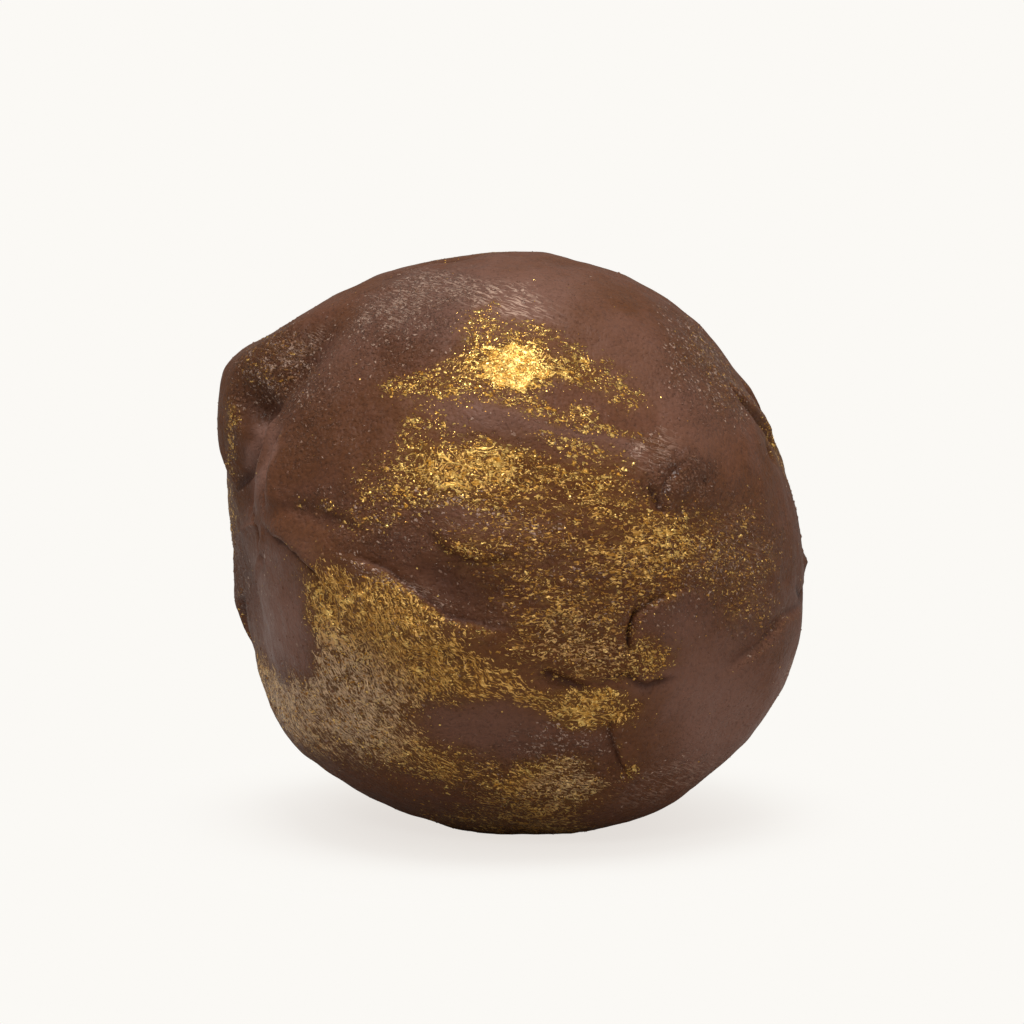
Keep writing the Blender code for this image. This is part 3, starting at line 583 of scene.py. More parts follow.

# The width of a gilded edge and of a crack's painted shade, the depth in mm at which a crack's
# painted shade is darkest, the width in mm below which a crease gets painted shade as a crack, and
# how far a wiped side reaches.
EDGE_WIDTH = 0.14 * MM
CRACK_WIDTH = 0.12 * MM
CRACK_DEPTH = 0.30
NARROW = 0.45
WIPED_REACH = 2.2 * MM

# Above this cover the grains of gold run together.
MOST_SPECKS = 0.90

# The brush turned about this place, and its hairs left rings around it. The rings are this many
# times as long as they are wide.
BRUSH_TURN = ("front", 7.0, 3.0)
RING_STRETCH = 3.0

# The directions that rows, specks, grit and scratches are drawn out along.
LEVEL_AXIS = (0.0, 0.25, 0.97)
SPECK_AXIS = (0.28, 0.25, 0.92)
GRIT_AXIS = (0.5, 0.0, 0.86)
SCRATCH_AXIS = (0.35, 0.1, 0.93)

# How finely the coating is mottled, and the size of its fine grain. Noise lies about mid grey.
MID_GREY = (0.5, 0.5, 0.5)
SLOW_LUMPS = 1.1 * MM
MOTTLE_LUMPS = 2.4 * MM
FINE_LUMPS = 0.30 * MM
GRAIN_SIZE = 0.20 * MM

# How high each layer stands, in mm: the first for smooth coating, the second for rough.
GRAIN_BUMP = 0.095
HAIR_BUMP = 0.055
ROW_BUMP = 0.080
SPECK_BUMP = 0.090
GRIT_BUMPS = (0.050, 0.130)

# The loose pieces: the seeds of their places and shapes, the spread of their sizes, the sides and
# tilt of a flake, the points of a crumb, and a splinter's width and second colour.
FLAKE_SEED = 7
CRUMB_SEED = 11
SPLINTER_SEED = 5
SIZE_SPREAD = 0.35
FLAKE_SIDES = 5
FLAKE_TILT = 0.28
CRUMB_POINTS = 12
SPLINTER_WIDTH = 0.05 * MM
CRYSTAL_COLOUR = (0.62, 0.48, 0.40, 1)

# How deep a lump sits in the coating, as a share of its size.
LUMP_SUNK = 0.62

# The lights stand this far off, in metres.
LAMP_DISTANCE = 0.60

# The paper reaches this far each way, in metres. How much of its brightness near the praline
# comes from the lights, in red, green and blue, and where that fades out.
PAPER_REACH = 4
SHADE_SHARES = (0.188, 0.212, 0.222)
SHADE_FADES = (6 * MM, 22 * MM)

# What the paper throws back at the praline, and the light of the room.
BOUNCE_COLOUR = (0.50, 0.48, 0.46, 1)
ROOM_COLOUR = (1.0, 0.985, 0.96, 1)

# The camera looks this far above the ball's centre, through a long lens.
CAMERA_LIFT = 1.6 * MM
LENS_LENGTH = 180
SENSOR_WIDTH = 36
NEAREST_SEEN = 0.01


def view_axes(view):
    """The directions to the right, up and towards the eye, as seen from a view."""
    turn, rise = np.radians(VIEWS[view])
    towards = np.array((np.sin(turn) * np.cos(rise), -np.cos(turn) * np.cos(rise), np.sin(rise)))
    right = np.array((np.cos(turn), np.sin(turn), 0.0))
    return right, np.cross(towards, right), towards


def unit(vectors):
    """The same directions with a length of one."""
    return vectors / np.linalg.norm(vectors, axis=-1, keepdims=True)


def place(view, x, z, radius_at=None):
    """The direction from the ball's centre to a point seen at x, z millimetres.

    The eye stands EYE_DISTANCE from the centre. radius_at gives the form's radius in a
    direction, and the point then lies on that form.
    """
    right, up, towards = view_axes(view)
    eye = EYE_DISTANCE * towards
    ray = unit(x * MM * right + z * MM * up - eye)
    to_middle = -(ray @ eye)
    aside = eye @ eye - to_middle**2
    radius = BALL_RADIUS
    for _ in range(1 if radius_at is None else 5):
        direction = unit(eye + (to_middle - np.sqrt(max(radius**2 - aside, 0.0))) * ray)
        if radius_at is not None:
            radius = radius_at(direction[None, :])[0]
    return direction


def smooth_least(a, b, blend):
    """The smaller of two lengths, with the change from one to the other rounded over blend."""
    share = np.clip(1 - np.abs(a - b) / blend, 0, 1)
    return np.minimum(a, b) - blend * share**3 / 6


def ball_form(directions):
    """The radius of the ball with its swells and flats, before any fold."""
    depth = directions[:, 1]
    radius = BALL_RADIUS * (1 - (1 - BALL_DEPTH_SHARE) * depth**2)
    for swell in SWELLS:
        centre = place(swell.view, swell.x, swell.z)
        away = BALL_RADIUS * np.arccos(np.clip(directions @ centre, -1, 1))
        radius = radius + swell.height * MM * np.exp(-0.5 * (away / (swell.spread * MM)) ** 2)
    for flat in FLATS:
        facing = np.maximum(directions @ place(flat.view, flat.x, flat.z), 0.05)
        radius = smooth_least(radius, flat.distance * MM / facing, flat.blend * MM)
    return radius


def smooth_path(view, points):
    """Directions along a smooth curve through the points of a fold."""
    knots = np.array([place(view, x, z, ball_form) for x, z in points])
    ends = (2 * knots[0] - knots[1], 2 * knots[-1] - knots[-2])
    held = np.vstack((ends[0], knots, ends[1]))
    curve = []
    for before, start, stop, after in zip(held, held[1:], held[2:], held[3:], strict=False):
        for t in np.arange(PATH_STEPS) / PATH_STEPS:
            curve.append(0.5 * (2 * start + (stop - before) * t
                                + (2 * before - 5 * start + 4 * stop - after) * t**2
                                + (3 * start - before - 3 * stop + after) * t**3))
    return unit(np.array(curve + [knots[-1]]))


def beside_path(directions, path, reach):
    """How the directions within reach of a path lie to it.

    Gives which directions those are, their signed distances, above zero to the left of the
    path's travel, the share of the path's length that each lies beside, and the direction to
    the left there.
    """
    middle = unit(path.mean(axis=0))
    cap = np.arccos(np.clip(path @ middle, -1, 1)).max() + reach / BALL_RADIUS
    near = np.flatnonzero(directions @ middle > np.cos(cap))
    steps = np.diff(path, axis=0)
    lengths = np.linalg.norm(steps, axis=1)
    starts = np.concatenate(((0.0,), np.cumsum(lengths)))
    nearest = np.full(len(near), np.inf)
    signed = np.zeros(len(near))
    along = np.zeros(len(near))
    leftward = np.zeros((len(near), 3))
    for start, step, length, behind in zip(path, steps, lengths, starts, strict=False):
        offset = directions[near] - start
        share = np.clip(offset @ step / length**2, 0, 1)
        gap = offset - share[:, None] * step
        distance = np.linalg.norm(gap, axis=1)
        left = unit(np.cross(start + step / 2, step))
        closer = distance < nearest
        nearest[closer] = distance[closer]
        signed[closer] = (np.sign(gap @ left) * distance)[closer]
        along[closer] = (behind + share * length)[closer]
        leftward[closer] = left
    return near, BALL_RADIUS * signed, along / starts[-1], leftward


def ends_fade(along, share=0.28):
    """One along a fold's middle, down to nothing at both its ends."""
    t = np.clip(np.minimum(along, 1 - along) / share, 0, 1)
    return t * t * (3 - 2 * t)


def gathered(directions, paths):
    """The directions drawn in towards the folds, where the form turns fastest."""
    moved = directions.copy()
    for path in paths:
        near, signed, along, leftward = beside_path(moved, path, 3 * GATHER_REACH)
        pull = GATHER_SHARE * np.exp(-((signed / GATHER_REACH) ** 2)) * ends_fade(along, 0.1)
        moved[near] = unit(moved[near] - (pull * signed / BALL_RADIUS)[:, None] * leftward)
    return moved


def lip_shape(lip, signed, along):
    """A lip's height over the form, and how far it is drawn over the lower side."""
    fade = ends_fade(along)
    edge = lip.edge * MM
    raised_share = 0.5 * (1 + np.tanh(signed / (0.6 * edge)))
    raised = raised_share * np.exp(-((np.maximum(signed, 0) / (lip.reach * MM)) ** 2))
    lower_reach = LOWER_REACH_SHARE * lip.reach * MM
    lowered = (1 - raised_share) * np.exp(-((np.minimum(signed, 0) / lower_reach) ** 2))
    groove = np.exp(-(((signed + edge) / (1.4 * edge)) ** 2))
    height = lip.height * (raised - LOWER_SHARE * lowered) - lip.groove * groove
    drawn = lip.overhang * np.exp(-(((signed - 0.4 * edge) / (1.4 * edge)) ** 2))
    return height * fade * MM, -drawn * fade * MM


def bent_directions(directions):
    """The directions as the folds see them, so that each fold wanders a little."""
    noise.seed_set(BEND_SEED)
    bent = directions.copy()
    for size, reach in BENDS:
        scale = BALL_RADIUS / size
        strayed = np.array([noise.noise_vector(Vector(d) * scale) for d in directions])
        bent += strayed * reach / BALL_RADIUS
    return unit(bent)


def praline_form(directions):
    """Points on the form about the ball's centre, and what the folds do at each.

    That is how far they raise or sink it, how near it is to a gilded edge, and how much it lies
    on the wiped side of one.
    """
    bent = bent_directions(directions)
    plain = ball_form(directions)
    radius = plain.copy()
    sideways = np.zeros_like(directions)
    gilded = np.zeros(len(directions))
    wiped = np.zeros(len(directions))
    crack_shade = np.zeros(len(directions))
    for lip in LIPS:
        path = smooth_path(lip.view, lip.path)
        near, signed, along, leftward = beside_path(bent, path, 3 * lip.reach * MM)
        height, drawn = lip_shape(lip, signed, along)
        radius[near] += height
        sideways[near] += drawn[:, None] * leftward
        fade = ends_fade(along, 0.12)
        crest = np.exp(-(((signed - EDGE_WIDTH) / EDGE_WIDTH) ** 2)) * fade
        gilded[near] = np.maximum(gilded[near], GILDED_EDGES.get(lip.name, 0.25) * crest)
        # The groove under a lip is painted dark: painted shade, darker where the groove is deeper.
        groove = np.exp(-(((signed + lip.edge * MM) / CRACK_WIDTH) ** 2)) * ends_fade(along)
        crack_shade[near] = np.maximum(crack_shade[near], groove * min(1, lip.groove / CRACK_DEPTH))
        if lip.name in WIPED_BELOW:
            below = np.exp(-((signed / WIPED_REACH) ** 2)) * (signed < 0) * fade
            wiped[near] = np.maximum(wiped[near], below)
    for crease in CREASES:
        path = smooth_path(crease.view, crease.path)
        near, signed, along, _ = beside_path(bent, path, 3 * crease.width * MM)
        section = np.exp(-((signed / (crease.width * MM)) ** 2))
        radius[near] -= crease.depth * MM * section * ends_fade(along)
        # A narrow crease is painted dark as a crack: painted shade, darker where it is deeper.
        if crease.width < NARROW:
            dark = section**3 * ends_fade(along) * np.clip(crease.depth / CRACK_DEPTH, 0, 1)
            crack_shade[near] = np.maximum(crack_shade[near], dark)
    for pit in PITS:
        centre = place(pit.view, pit.x, pit.z, ball_form)
        away = BALL_RADIUS * np.arccos(np.clip(bent @ centre, -1, 1))
        radius -= pit.depth * MM * np.exp(-((away / (pit.radius * MM)) ** 2))
    sunk = radius - plain
    radius += wave_heights(directions)
    folds = {"sunk": sunk, "gilded": gilded, "wiped": wiped, "crack_shade": crack_shade}
    return directions * radius[:, None] + sideways, folds


def wave_heights(directions):
    """The coating's slow unevenness in each direction."""
    scale = BALL_RADIUS / WAVE_SIZE
    heights = [noise.fractal(Vector(d) * scale, WAVE_ROUGHNESS, 2.0, WAVE_LAYERS)
               for d in directions]
    return WAVE_HEIGHT * np.array(heights)


def field(points, size, seed, stretch=(1, 1, 1)):
    """A smooth random value from -1 to 1 at each point, with lumps of one size."""
    scale = 1 / (np.array(stretch) * size)
    shift = np.array((17.3, 41.9, 73.1)) * seed
    return np.array([noise.noise(Vector(p)) for p in points * scale + shift])


def seen_at(view, points):
    """Where points lie as seen from a view, in mm, and how squarely they face the eye."""
    right, up, towards = view_axes(view)
    nearer = EYE_DISTANCE / (EYE_DISTANCE - points @ towards)
    return points @ right * nearer / MM, points @ up * nearer / MM, unit(points) @ towards


def cover(patches, points, ragged):
    """How full the patches are at each point."""
    empty = np.ones(len(points))
    for patch in patches:
        x, z, facing = seen_at(patch.view, points)
        x = x - patch.x + ragged[0]
        z = z - patch.z + 0.7 * ragged[1]
        turn = np.radians(patch.turn)
        across = (x * np.cos(turn) + z * np.sin(turn)) / patch.wide
        upward = (z * np.cos(turn) - x * np.sin(turn)) / patch.high
        full = np.exp(-0.7 * (across**2 + upward**2) ** 2) * np.clip((facing + 0.1) / 0.3, 0, 1)
        empty *= 1 - patch.amount * full
    return 1 - empty


def box_sides(cells):
    """A ball's directions and its four-sided faces, from the six sides of a box."""
    steps = np.tan(np.linspace(-1, 1, cells + 1) * np.pi / 4)
    across, upward = np.meshgrid(steps, steps, indexing="ij")
    corners = []
    faces = []
    row = cells + 1
    first = (np.arange(cells)[:, None] * row + np.arange(cells)).ravel()
    for axis in range(3):
        for side in (-1, 1):
            flat = np.empty((row * row, 3))
            flat[:, axis] = side
            flat[:, (axis + 1) % 3] = across.ravel() * side
            flat[:, (axis + 2) % 3] = upward.ravel()
            start = len(corners) * row * row
            faces.append(start + np.stack((first, first + row, first + row + 1, first + 1), axis=1))
            corners.append(flat)
    corners = np.vstack(corners)
    faces = np.vstack(faces)
    _, kept, joined = np.unique(corners.round(7), axis=0, return_index=True, return_inverse=True)
    return unit(corners[kept]), joined.ravel()[faces]


def body_points(cells, relief_height, ripple_height):
    """The body's points in the solid's box, its faces, and the finish at each point."""
    directions, faces = box_sides(cells)
    paths = [smooth_path(fold.view, fold.path) for fold in LIPS + CREASES]
    points, folds = praline_form(gathered(directions, paths))
    layers = tuple(enumerate(zip(RAGGED_SIZES, RAGGED_REACHES, strict=True)))
    ragged = [sum(reach * field(points, size, 2 * k + 3 * layer) for layer, (size, reach) in layers)
              for k in range(2)]
    finish = {key: cover(patches, points, ragged) for key, patches in PATCHES.items()}
    bare = np.minimum(np.maximum(finish["bare"], folds["wiped"]), 1)
    clumps = field(points, CLUMP_SIZE, 9, (1.6, 1.6, 0.8))
    edges = folds["gilded"] * np.clip(0.6 + field(points, EDGE_CLUMP_SIZE, 12), 0, 1)
    specks = np.clip(finish["specks"] * (1 - bare) * (1 + 0.8 * clumps), 0, MOST_SPECKS)
    finish["specks"] = np.maximum(specks, np.maximum(finish.pop("core"), MOST_SPECKS * edges))
    # Lip crests also take pale dust: a painted highlight along each crest.
    finish["dust"] = np.maximum(finish["dust"], 0.6 * edges)
    for key in ("film", "rows"):
        finish[key] = finish[key] * (1 - bare)
    finish["bare"] = bare
    finish["crack_shade"] = folds["crack_shade"]
    # How sunk the form is: the coating paints shade by it.
    finish["hollow"] = np.clip(-folds["sunk"] / HOLLOW_DEPTH, 0, 1)
    out = unit(points)
    small = 0.6 * field(points, BUMP_SIZES[1], 5) * (0.35 + finish["rough"])
    bumps = field(points, BUMP_SIZES[0], 4) + small
    rippled = np.clip(finish["rows"] + finish["specks"], 0, 1)
    ripples = field(points, RIPPLE_SIZE, 6, (4.0, 4.0, 1.0)) * rippled
    axis = place(*BRUSH_TURN)
    turned = points - (points @ axis)[:, None] * axis * (1 - 1 / RING_STRETCH)
    strokes = field(turned, STROKE_SIZE, 7) * finish["film"]
    points = points + out * (relief_height * bumps + ripple_height * (ripples + strokes))[:, None]
    points[:, 2] = np.maximum(points[:, 2], -CENTRE_HEIGHT)
    return points, faces, finish


def fitted(points):
    """The points moved and eased into the solid's box, standing on its floor."""
    low, high = points.min(axis=0), points.max(axis=0)
    room_low = CAD_LOW + np.array((FLAKE_MARGIN, FLAKE_MARGIN, 0))
    room_high = CAD_HIGH - FLAKE_MARGIN
    scale = (room_high - room_low) / (high - low)
    return (points - low) * scale + room_low


def kept_inside(points):
    """The points, with none of them outside the solid's box."""
    return np.clip(points, CAD_LOW, CAD_HIGH)


def mesh_object(name, points, faces, finish=None):
    """A smooth mesh object from points and faces, with the finish stored at its points."""
    mesh = bpy.data.meshes.new(name)
    mesh.from_pydata(points.tolist(), [], faces.tolist())
    for key, values in (finish or {}).items():
        layer = mesh.attributes.new(key, "FLOAT", "POINT")
        layer.data.foreach_set("value", np.asarray(values, dtype=np.float32))
    mesh.update()
    mesh.shade_smooth()
    made = bpy.data.objects.new(name, mesh)
    bpy.context.scene.collection.objects.link(made)
    return made


def add(tree, kind, inputs=None, **settings):
    """Adds a node, sets it up, and links or sets its inputs."""
    made = tree.nodes.new(kind)
    for key, value in settings.items():
        setattr(made, key, value)
    for key, value in (inputs or {}).items():
        if isinstance(value, bpy.types.NodeSocket):
            tree.links.new(value, made.inputs[key])
        else:
            made.inputs[key].default_value = value
    return made


def maths(operation, tree, *values, clamp=False):
    """The result of a Math node."""
    inputs = dict(enumerate(values))
    return add(tree, "ShaderNodeMath", inputs, operation=operation, use_clamp=clamp).outputs[0]


times = partial(maths, "MULTIPLY")
plus = partial(maths, "ADD")
less = partial(maths, "SUBTRACT")
divided = partial(maths, "DIVIDE")
most = partial(maths, "MAXIMUM")
times_plus = partial(maths, "MULTIPLY_ADD")


def vectors(operation, tree, first, second):
    """The result of a Vector Math node."""
    made = add(tree, "ShaderNodeVectorMath", {0: first, 1: second}, operation=operation)
    return made.outputs["Value" if operation == "DOT_PRODUCT" else "Vector"]


def opaque(colour):
    """A colour with nothing see-through."""
    return (*colour, 1)


def stepped(tree, value, low, high, to_low=0.0, to_high=1.0):
    """A value eased from low and high to another pair."""
    inputs = {"Value": value, "From Min": low, "From Max": high,
              "To Min": to_low, "To Max": to_high}
    return add(tree, "ShaderNodeMapRange", inputs, interpolation_type="SMOOTHSTEP").outputs[0]


def blended(tree, share, first, second):
    """Two colours mixed by a share."""
    inputs = {0: share, 6: first, 7: second}
    return add(tree, "ShaderNodeMix", inputs, data_type="RGBA").outputs[2]


def between(tree, share, first, second):
    """Two values mixed by a share."""
    inputs = {0: share, 2: first, 3: second}
    return add(tree, "ShaderNodeMix", inputs, data_type="FLOAT").outputs[0]


def stored(tree, name):
    """A finish stored at the mesh's points."""
    return add(tree, "ShaderNodeAttribute", attribute_name=name).outputs["Fac"]


def lumps(tree, vector, size, detail=2.0, roughness=0.55):
    """Noise with lumps of one size, from 0 to 1."""
    inputs = {"Vector": vector, "Scale": 1 / size, "Detail": detail, "Roughness": roughness}
    return add(tree, "ShaderNodeTexNoise", inputs).outputs["Fac"]


def new_group(name, inputs, outputs):
    """A node group with its sockets, and its input and output nodes."""
    group = bpy.data.node_groups.new(name, "ShaderNodeTree")
    for direction, sockets in (("INPUT", inputs), ("OUTPUT", outputs)):
        for label, kind in sockets.items():
            group.interface.new_socket(
                name=label, in_out=direction, socket_type="NodeSocket" + kind)
    given = group.nodes.new("NodeGroupInput").outputs
    return group, given, group.nodes.new("NodeGroupOutput").inputs


def use(tree, name, **inputs):
    """Places a node group in a material with its own values."""
    named = {key.replace("_", " ").title(): value for key, value in inputs.items()}
    return add(tree, "ShaderNodeGroup", named, node_tree=bpy.data.node_groups[name])


def scaled(tree, vector, share):
    """A vector made longer by a share."""
    inputs = {0: vector, "Scale": share}
    return add(tree, "ShaderNodeVectorMath", inputs, operation="SCALE").outputs[0]


def drawn_out(tree, vector, axis, along, across):
    """A place measured in lengths along the brush's rings and across them."""
    inside = vectors("DOT_PRODUCT", tree, vector, axis)
    per_along = divided(tree, 1.0, along)
    per_across = divided(tree, 1.0, across)
    extra = times(tree, inside, less(tree, per_across, per_along))
    wide = scaled(tree, vector, per_along)
    return vectors("ADD", tree, wide, scaled(tree, axis, extra))


def brushed_group():
    """Hairs that run in wavering rings about an axis."""
    tree, given, result = new_group(
        "brushed_hairs",
        {"Vector": "Vector", "Axis": "Vector",
         "Along": "Float", "Across": "Float", "Waver": "Float"},
        {"Value": "Float"},
    )
    swirl = add(tree, "ShaderNodeTexNoise", {
        "Vector": scaled(tree, given["Vector"], divided(tree, 0.9, given["Along"])),
        "Scale": 1.0, "Detail": 1.0}).outputs["Color"]
    off = vectors("SUBTRACT", tree, swirl, MID_GREY)
    moved = vectors("ADD", tree, given["Vector"], scaled(tree, off, given["Waver"]))
    place_at = drawn_out(tree, moved, given["Axis"], given["Along"], given["Across"])
    tree.links.new(lumps(tree, place_at, 1.0, 3.0, 0.6), result["Value"])


def grains_group():
    """Grains and curly threads of dust: where they lie, their domes, and how each one glints."""
    tree, given, result = new_group(
        "dust_grains",
        {"Vector": "Vector", "Axis": "Vector", "Cover": "Float", "Size": "Float",
         "Stretch": "Float", "Threads": "Float"},
        {"Mask": "Float", "Dome": "Float", "Glint": "Float"},
    )
    spread = times(tree, given["Size"], given["Stretch"])
    place_at = drawn_out(tree, given["Vector"], given["Axis"], spread, given["Size"])
    clump = lumps(tree, place_at, 3.2, 2.0)
    solid = stepped(tree, given["Cover"], MOST_SPECKS, 1.0)
    cover = times(tree, given["Cover"], stepped(tree, clump, 0.36, 0.60, 0.45, 1.12))
    cover = most(tree, cover, solid)
    warp = add(tree, "ShaderNodeTexNoise", {"Vector": place_at, "Scale": 1.5, "Detail": 1.0})
    off = vectors("SUBTRACT", tree, warp.outputs["Color"], MID_GREY)
    uneven = vectors("ADD", tree, place_at, scaled(tree, off, 1.3))
    domes = []
    glints = []
    for spacing in (1.0, 0.66):
        cells = add(tree, "ShaderNodeTexVoronoi", {"Vector": uneven, "Scale": 1 / spacing})
        chance = add(tree, "ShaderNodeSeparateColor", {0: cells.outputs["Color"]}).outputs
        surplus = less(tree, cover, times(tree, chance[0], 0.9))
        reach = plus(tree, stepped(tree, surplus, -0.04, 0.22, 0.0, 0.42),
                     times(tree, solid, 0.55))
        apart = divided(tree, cells.outputs["Distance"], most(tree, reach, 0.02))
        dome = less(tree, 1.0, apart)
        domes.append(most(tree, dome, 0.0))
        glints.append(chance[1])
    dome = most(tree, *domes)
    upper = maths("GREATER_THAN", tree, domes[1], domes[0])
    glint = between(tree, upper, *glints)
    curls = add(tree, "ShaderNodeTexNoise", {
        "Vector": place_at, "Scale": 0.36, "Detail": 1.0, "Distortion": 1.0}).outputs["Fac"]
    off_line = maths("ABSOLUTE", tree, less(tree, curls, 0.5))
    width = times(tree, times(tree, cover, given["Threads"]), 0.05)
    thread = stepped(tree, less(tree, width, off_line), 0.0, 0.016)
    mask = most(tree, stepped(tree, dome, 0.03, 0.30), thread)
    height = most(tree, dome, times(tree, thread, 0.6))
    tree.links.new(mask, result["Mask"])
    tree.links.new(maths("POWER", tree, height, 0.75), result["Dome"])
    tree.links.new(glint, result["Glint"])


def gold_group():
    """Gold from deep to pale, by how it glints."""
    group, given, result = new_group(
        "gold_tone",
        {"Glint": "Float", "Deep Gold": "Color", "Pale Gold": "Color"},
        {"Color": "Color"},
    )
    tone = blended(group, given["Glint"], given["Deep Gold"], given["Pale Gold"])
    group.links.new(tone, result["Color"])


def chocolate_group():
    """Chocolate brown, mottled, warmer where the coating is thin, and darkened where Dark paints
    shade.
    """
    group, given, result = new_group(
        "chocolate_tone",
        {"Vector": "Vector", "Warm": "Float", "Dark": "Float", "Plain Brown": "Color",
         "Warm Brown": "Color", "Dark Brown": "Color"},
        {"Color": "Color"},
    )
    slow = stepped(group, lumps(group, given["Vector"], MOTTLE_LUMPS, 3.0, 0.65), 0.38, 0.60)
    fine = lumps(group, given["Vector"], FINE_LUMPS, 3.0, 0.7)
    warm = plus(group, times(group, slow, 0.70), given["Warm"], clamp=True)
    brown = blended(group, warm, given["Plain Brown"], given["Warm Brown"])
    mottle = stepped(group, fine, 0.40, 0.80, 0.0, 0.55)
    brown = blended(group, mottle, brown, given["Dark Brown"])
    brown = blended(group, given["Dark"], brown, given["Dark Brown"])
    group.links.new(brown, result["Color"])


def grain_group():
    """The height of a fine grain with pores."""
    group, given, result = new_group(
        "coating_grain",
        {"Vector": "Vector", "Size": "Float", "Amount": "Float"},
        {"Height": "Float"},
    )
    spot = scaled(group, given["Vector"], divided(group, 1.0, given["Size"]))
    fine = lumps(group, spot, 1.0, 3.0, 0.65)
    broad = lumps(group, spot, 4.0, 2.0, 0.5)
    grain = times_plus(group, broad, 2.2, fine)
    pit = stepped(group, fine, 0.30, 0.44, -0.4, 0.0)
    height = times(group, plus(group, grain, pit), given["Amount"])
    group.links.new(height, result["Height"])


def shared_groups():
    """Builds the effects that more than one material uses, once."""
    if "brushed_hairs" not in bpy.data.node_groups:
        brushed_group()
        grains_group()
        gold_group()
        chocolate_group()
        grain_group()


def new_material(name):
    """An empty material, its node tree and its shader."""
    material = bpy.data.materials.new(name)
    material.use_nodes = True
    return material, material.node_tree, material.node_tree.nodes["Principled BSDF"]


def gold(tree, glint, deep, pale):
    """Gold between two tones, by how it glints."""
    return use(tree, "gold_tone", glint=glint,
               deep_gold=opaque(deep), pale_gold=opaque(pale)).outputs["Color"]


def chocolate(tree, looks, where, warm, dark):
    """The coating's brown where it is more or less warm, with painted shade where dark is given."""
    return use(tree, "chocolate_tone", vector=where, warm=warm, dark=dark,
               plain_brown=opaque(looks.plain_brown), warm_brown=opaque(looks.warm_brown),
               dark_brown=opaque(looks.dark_brown)).outputs["Color"]


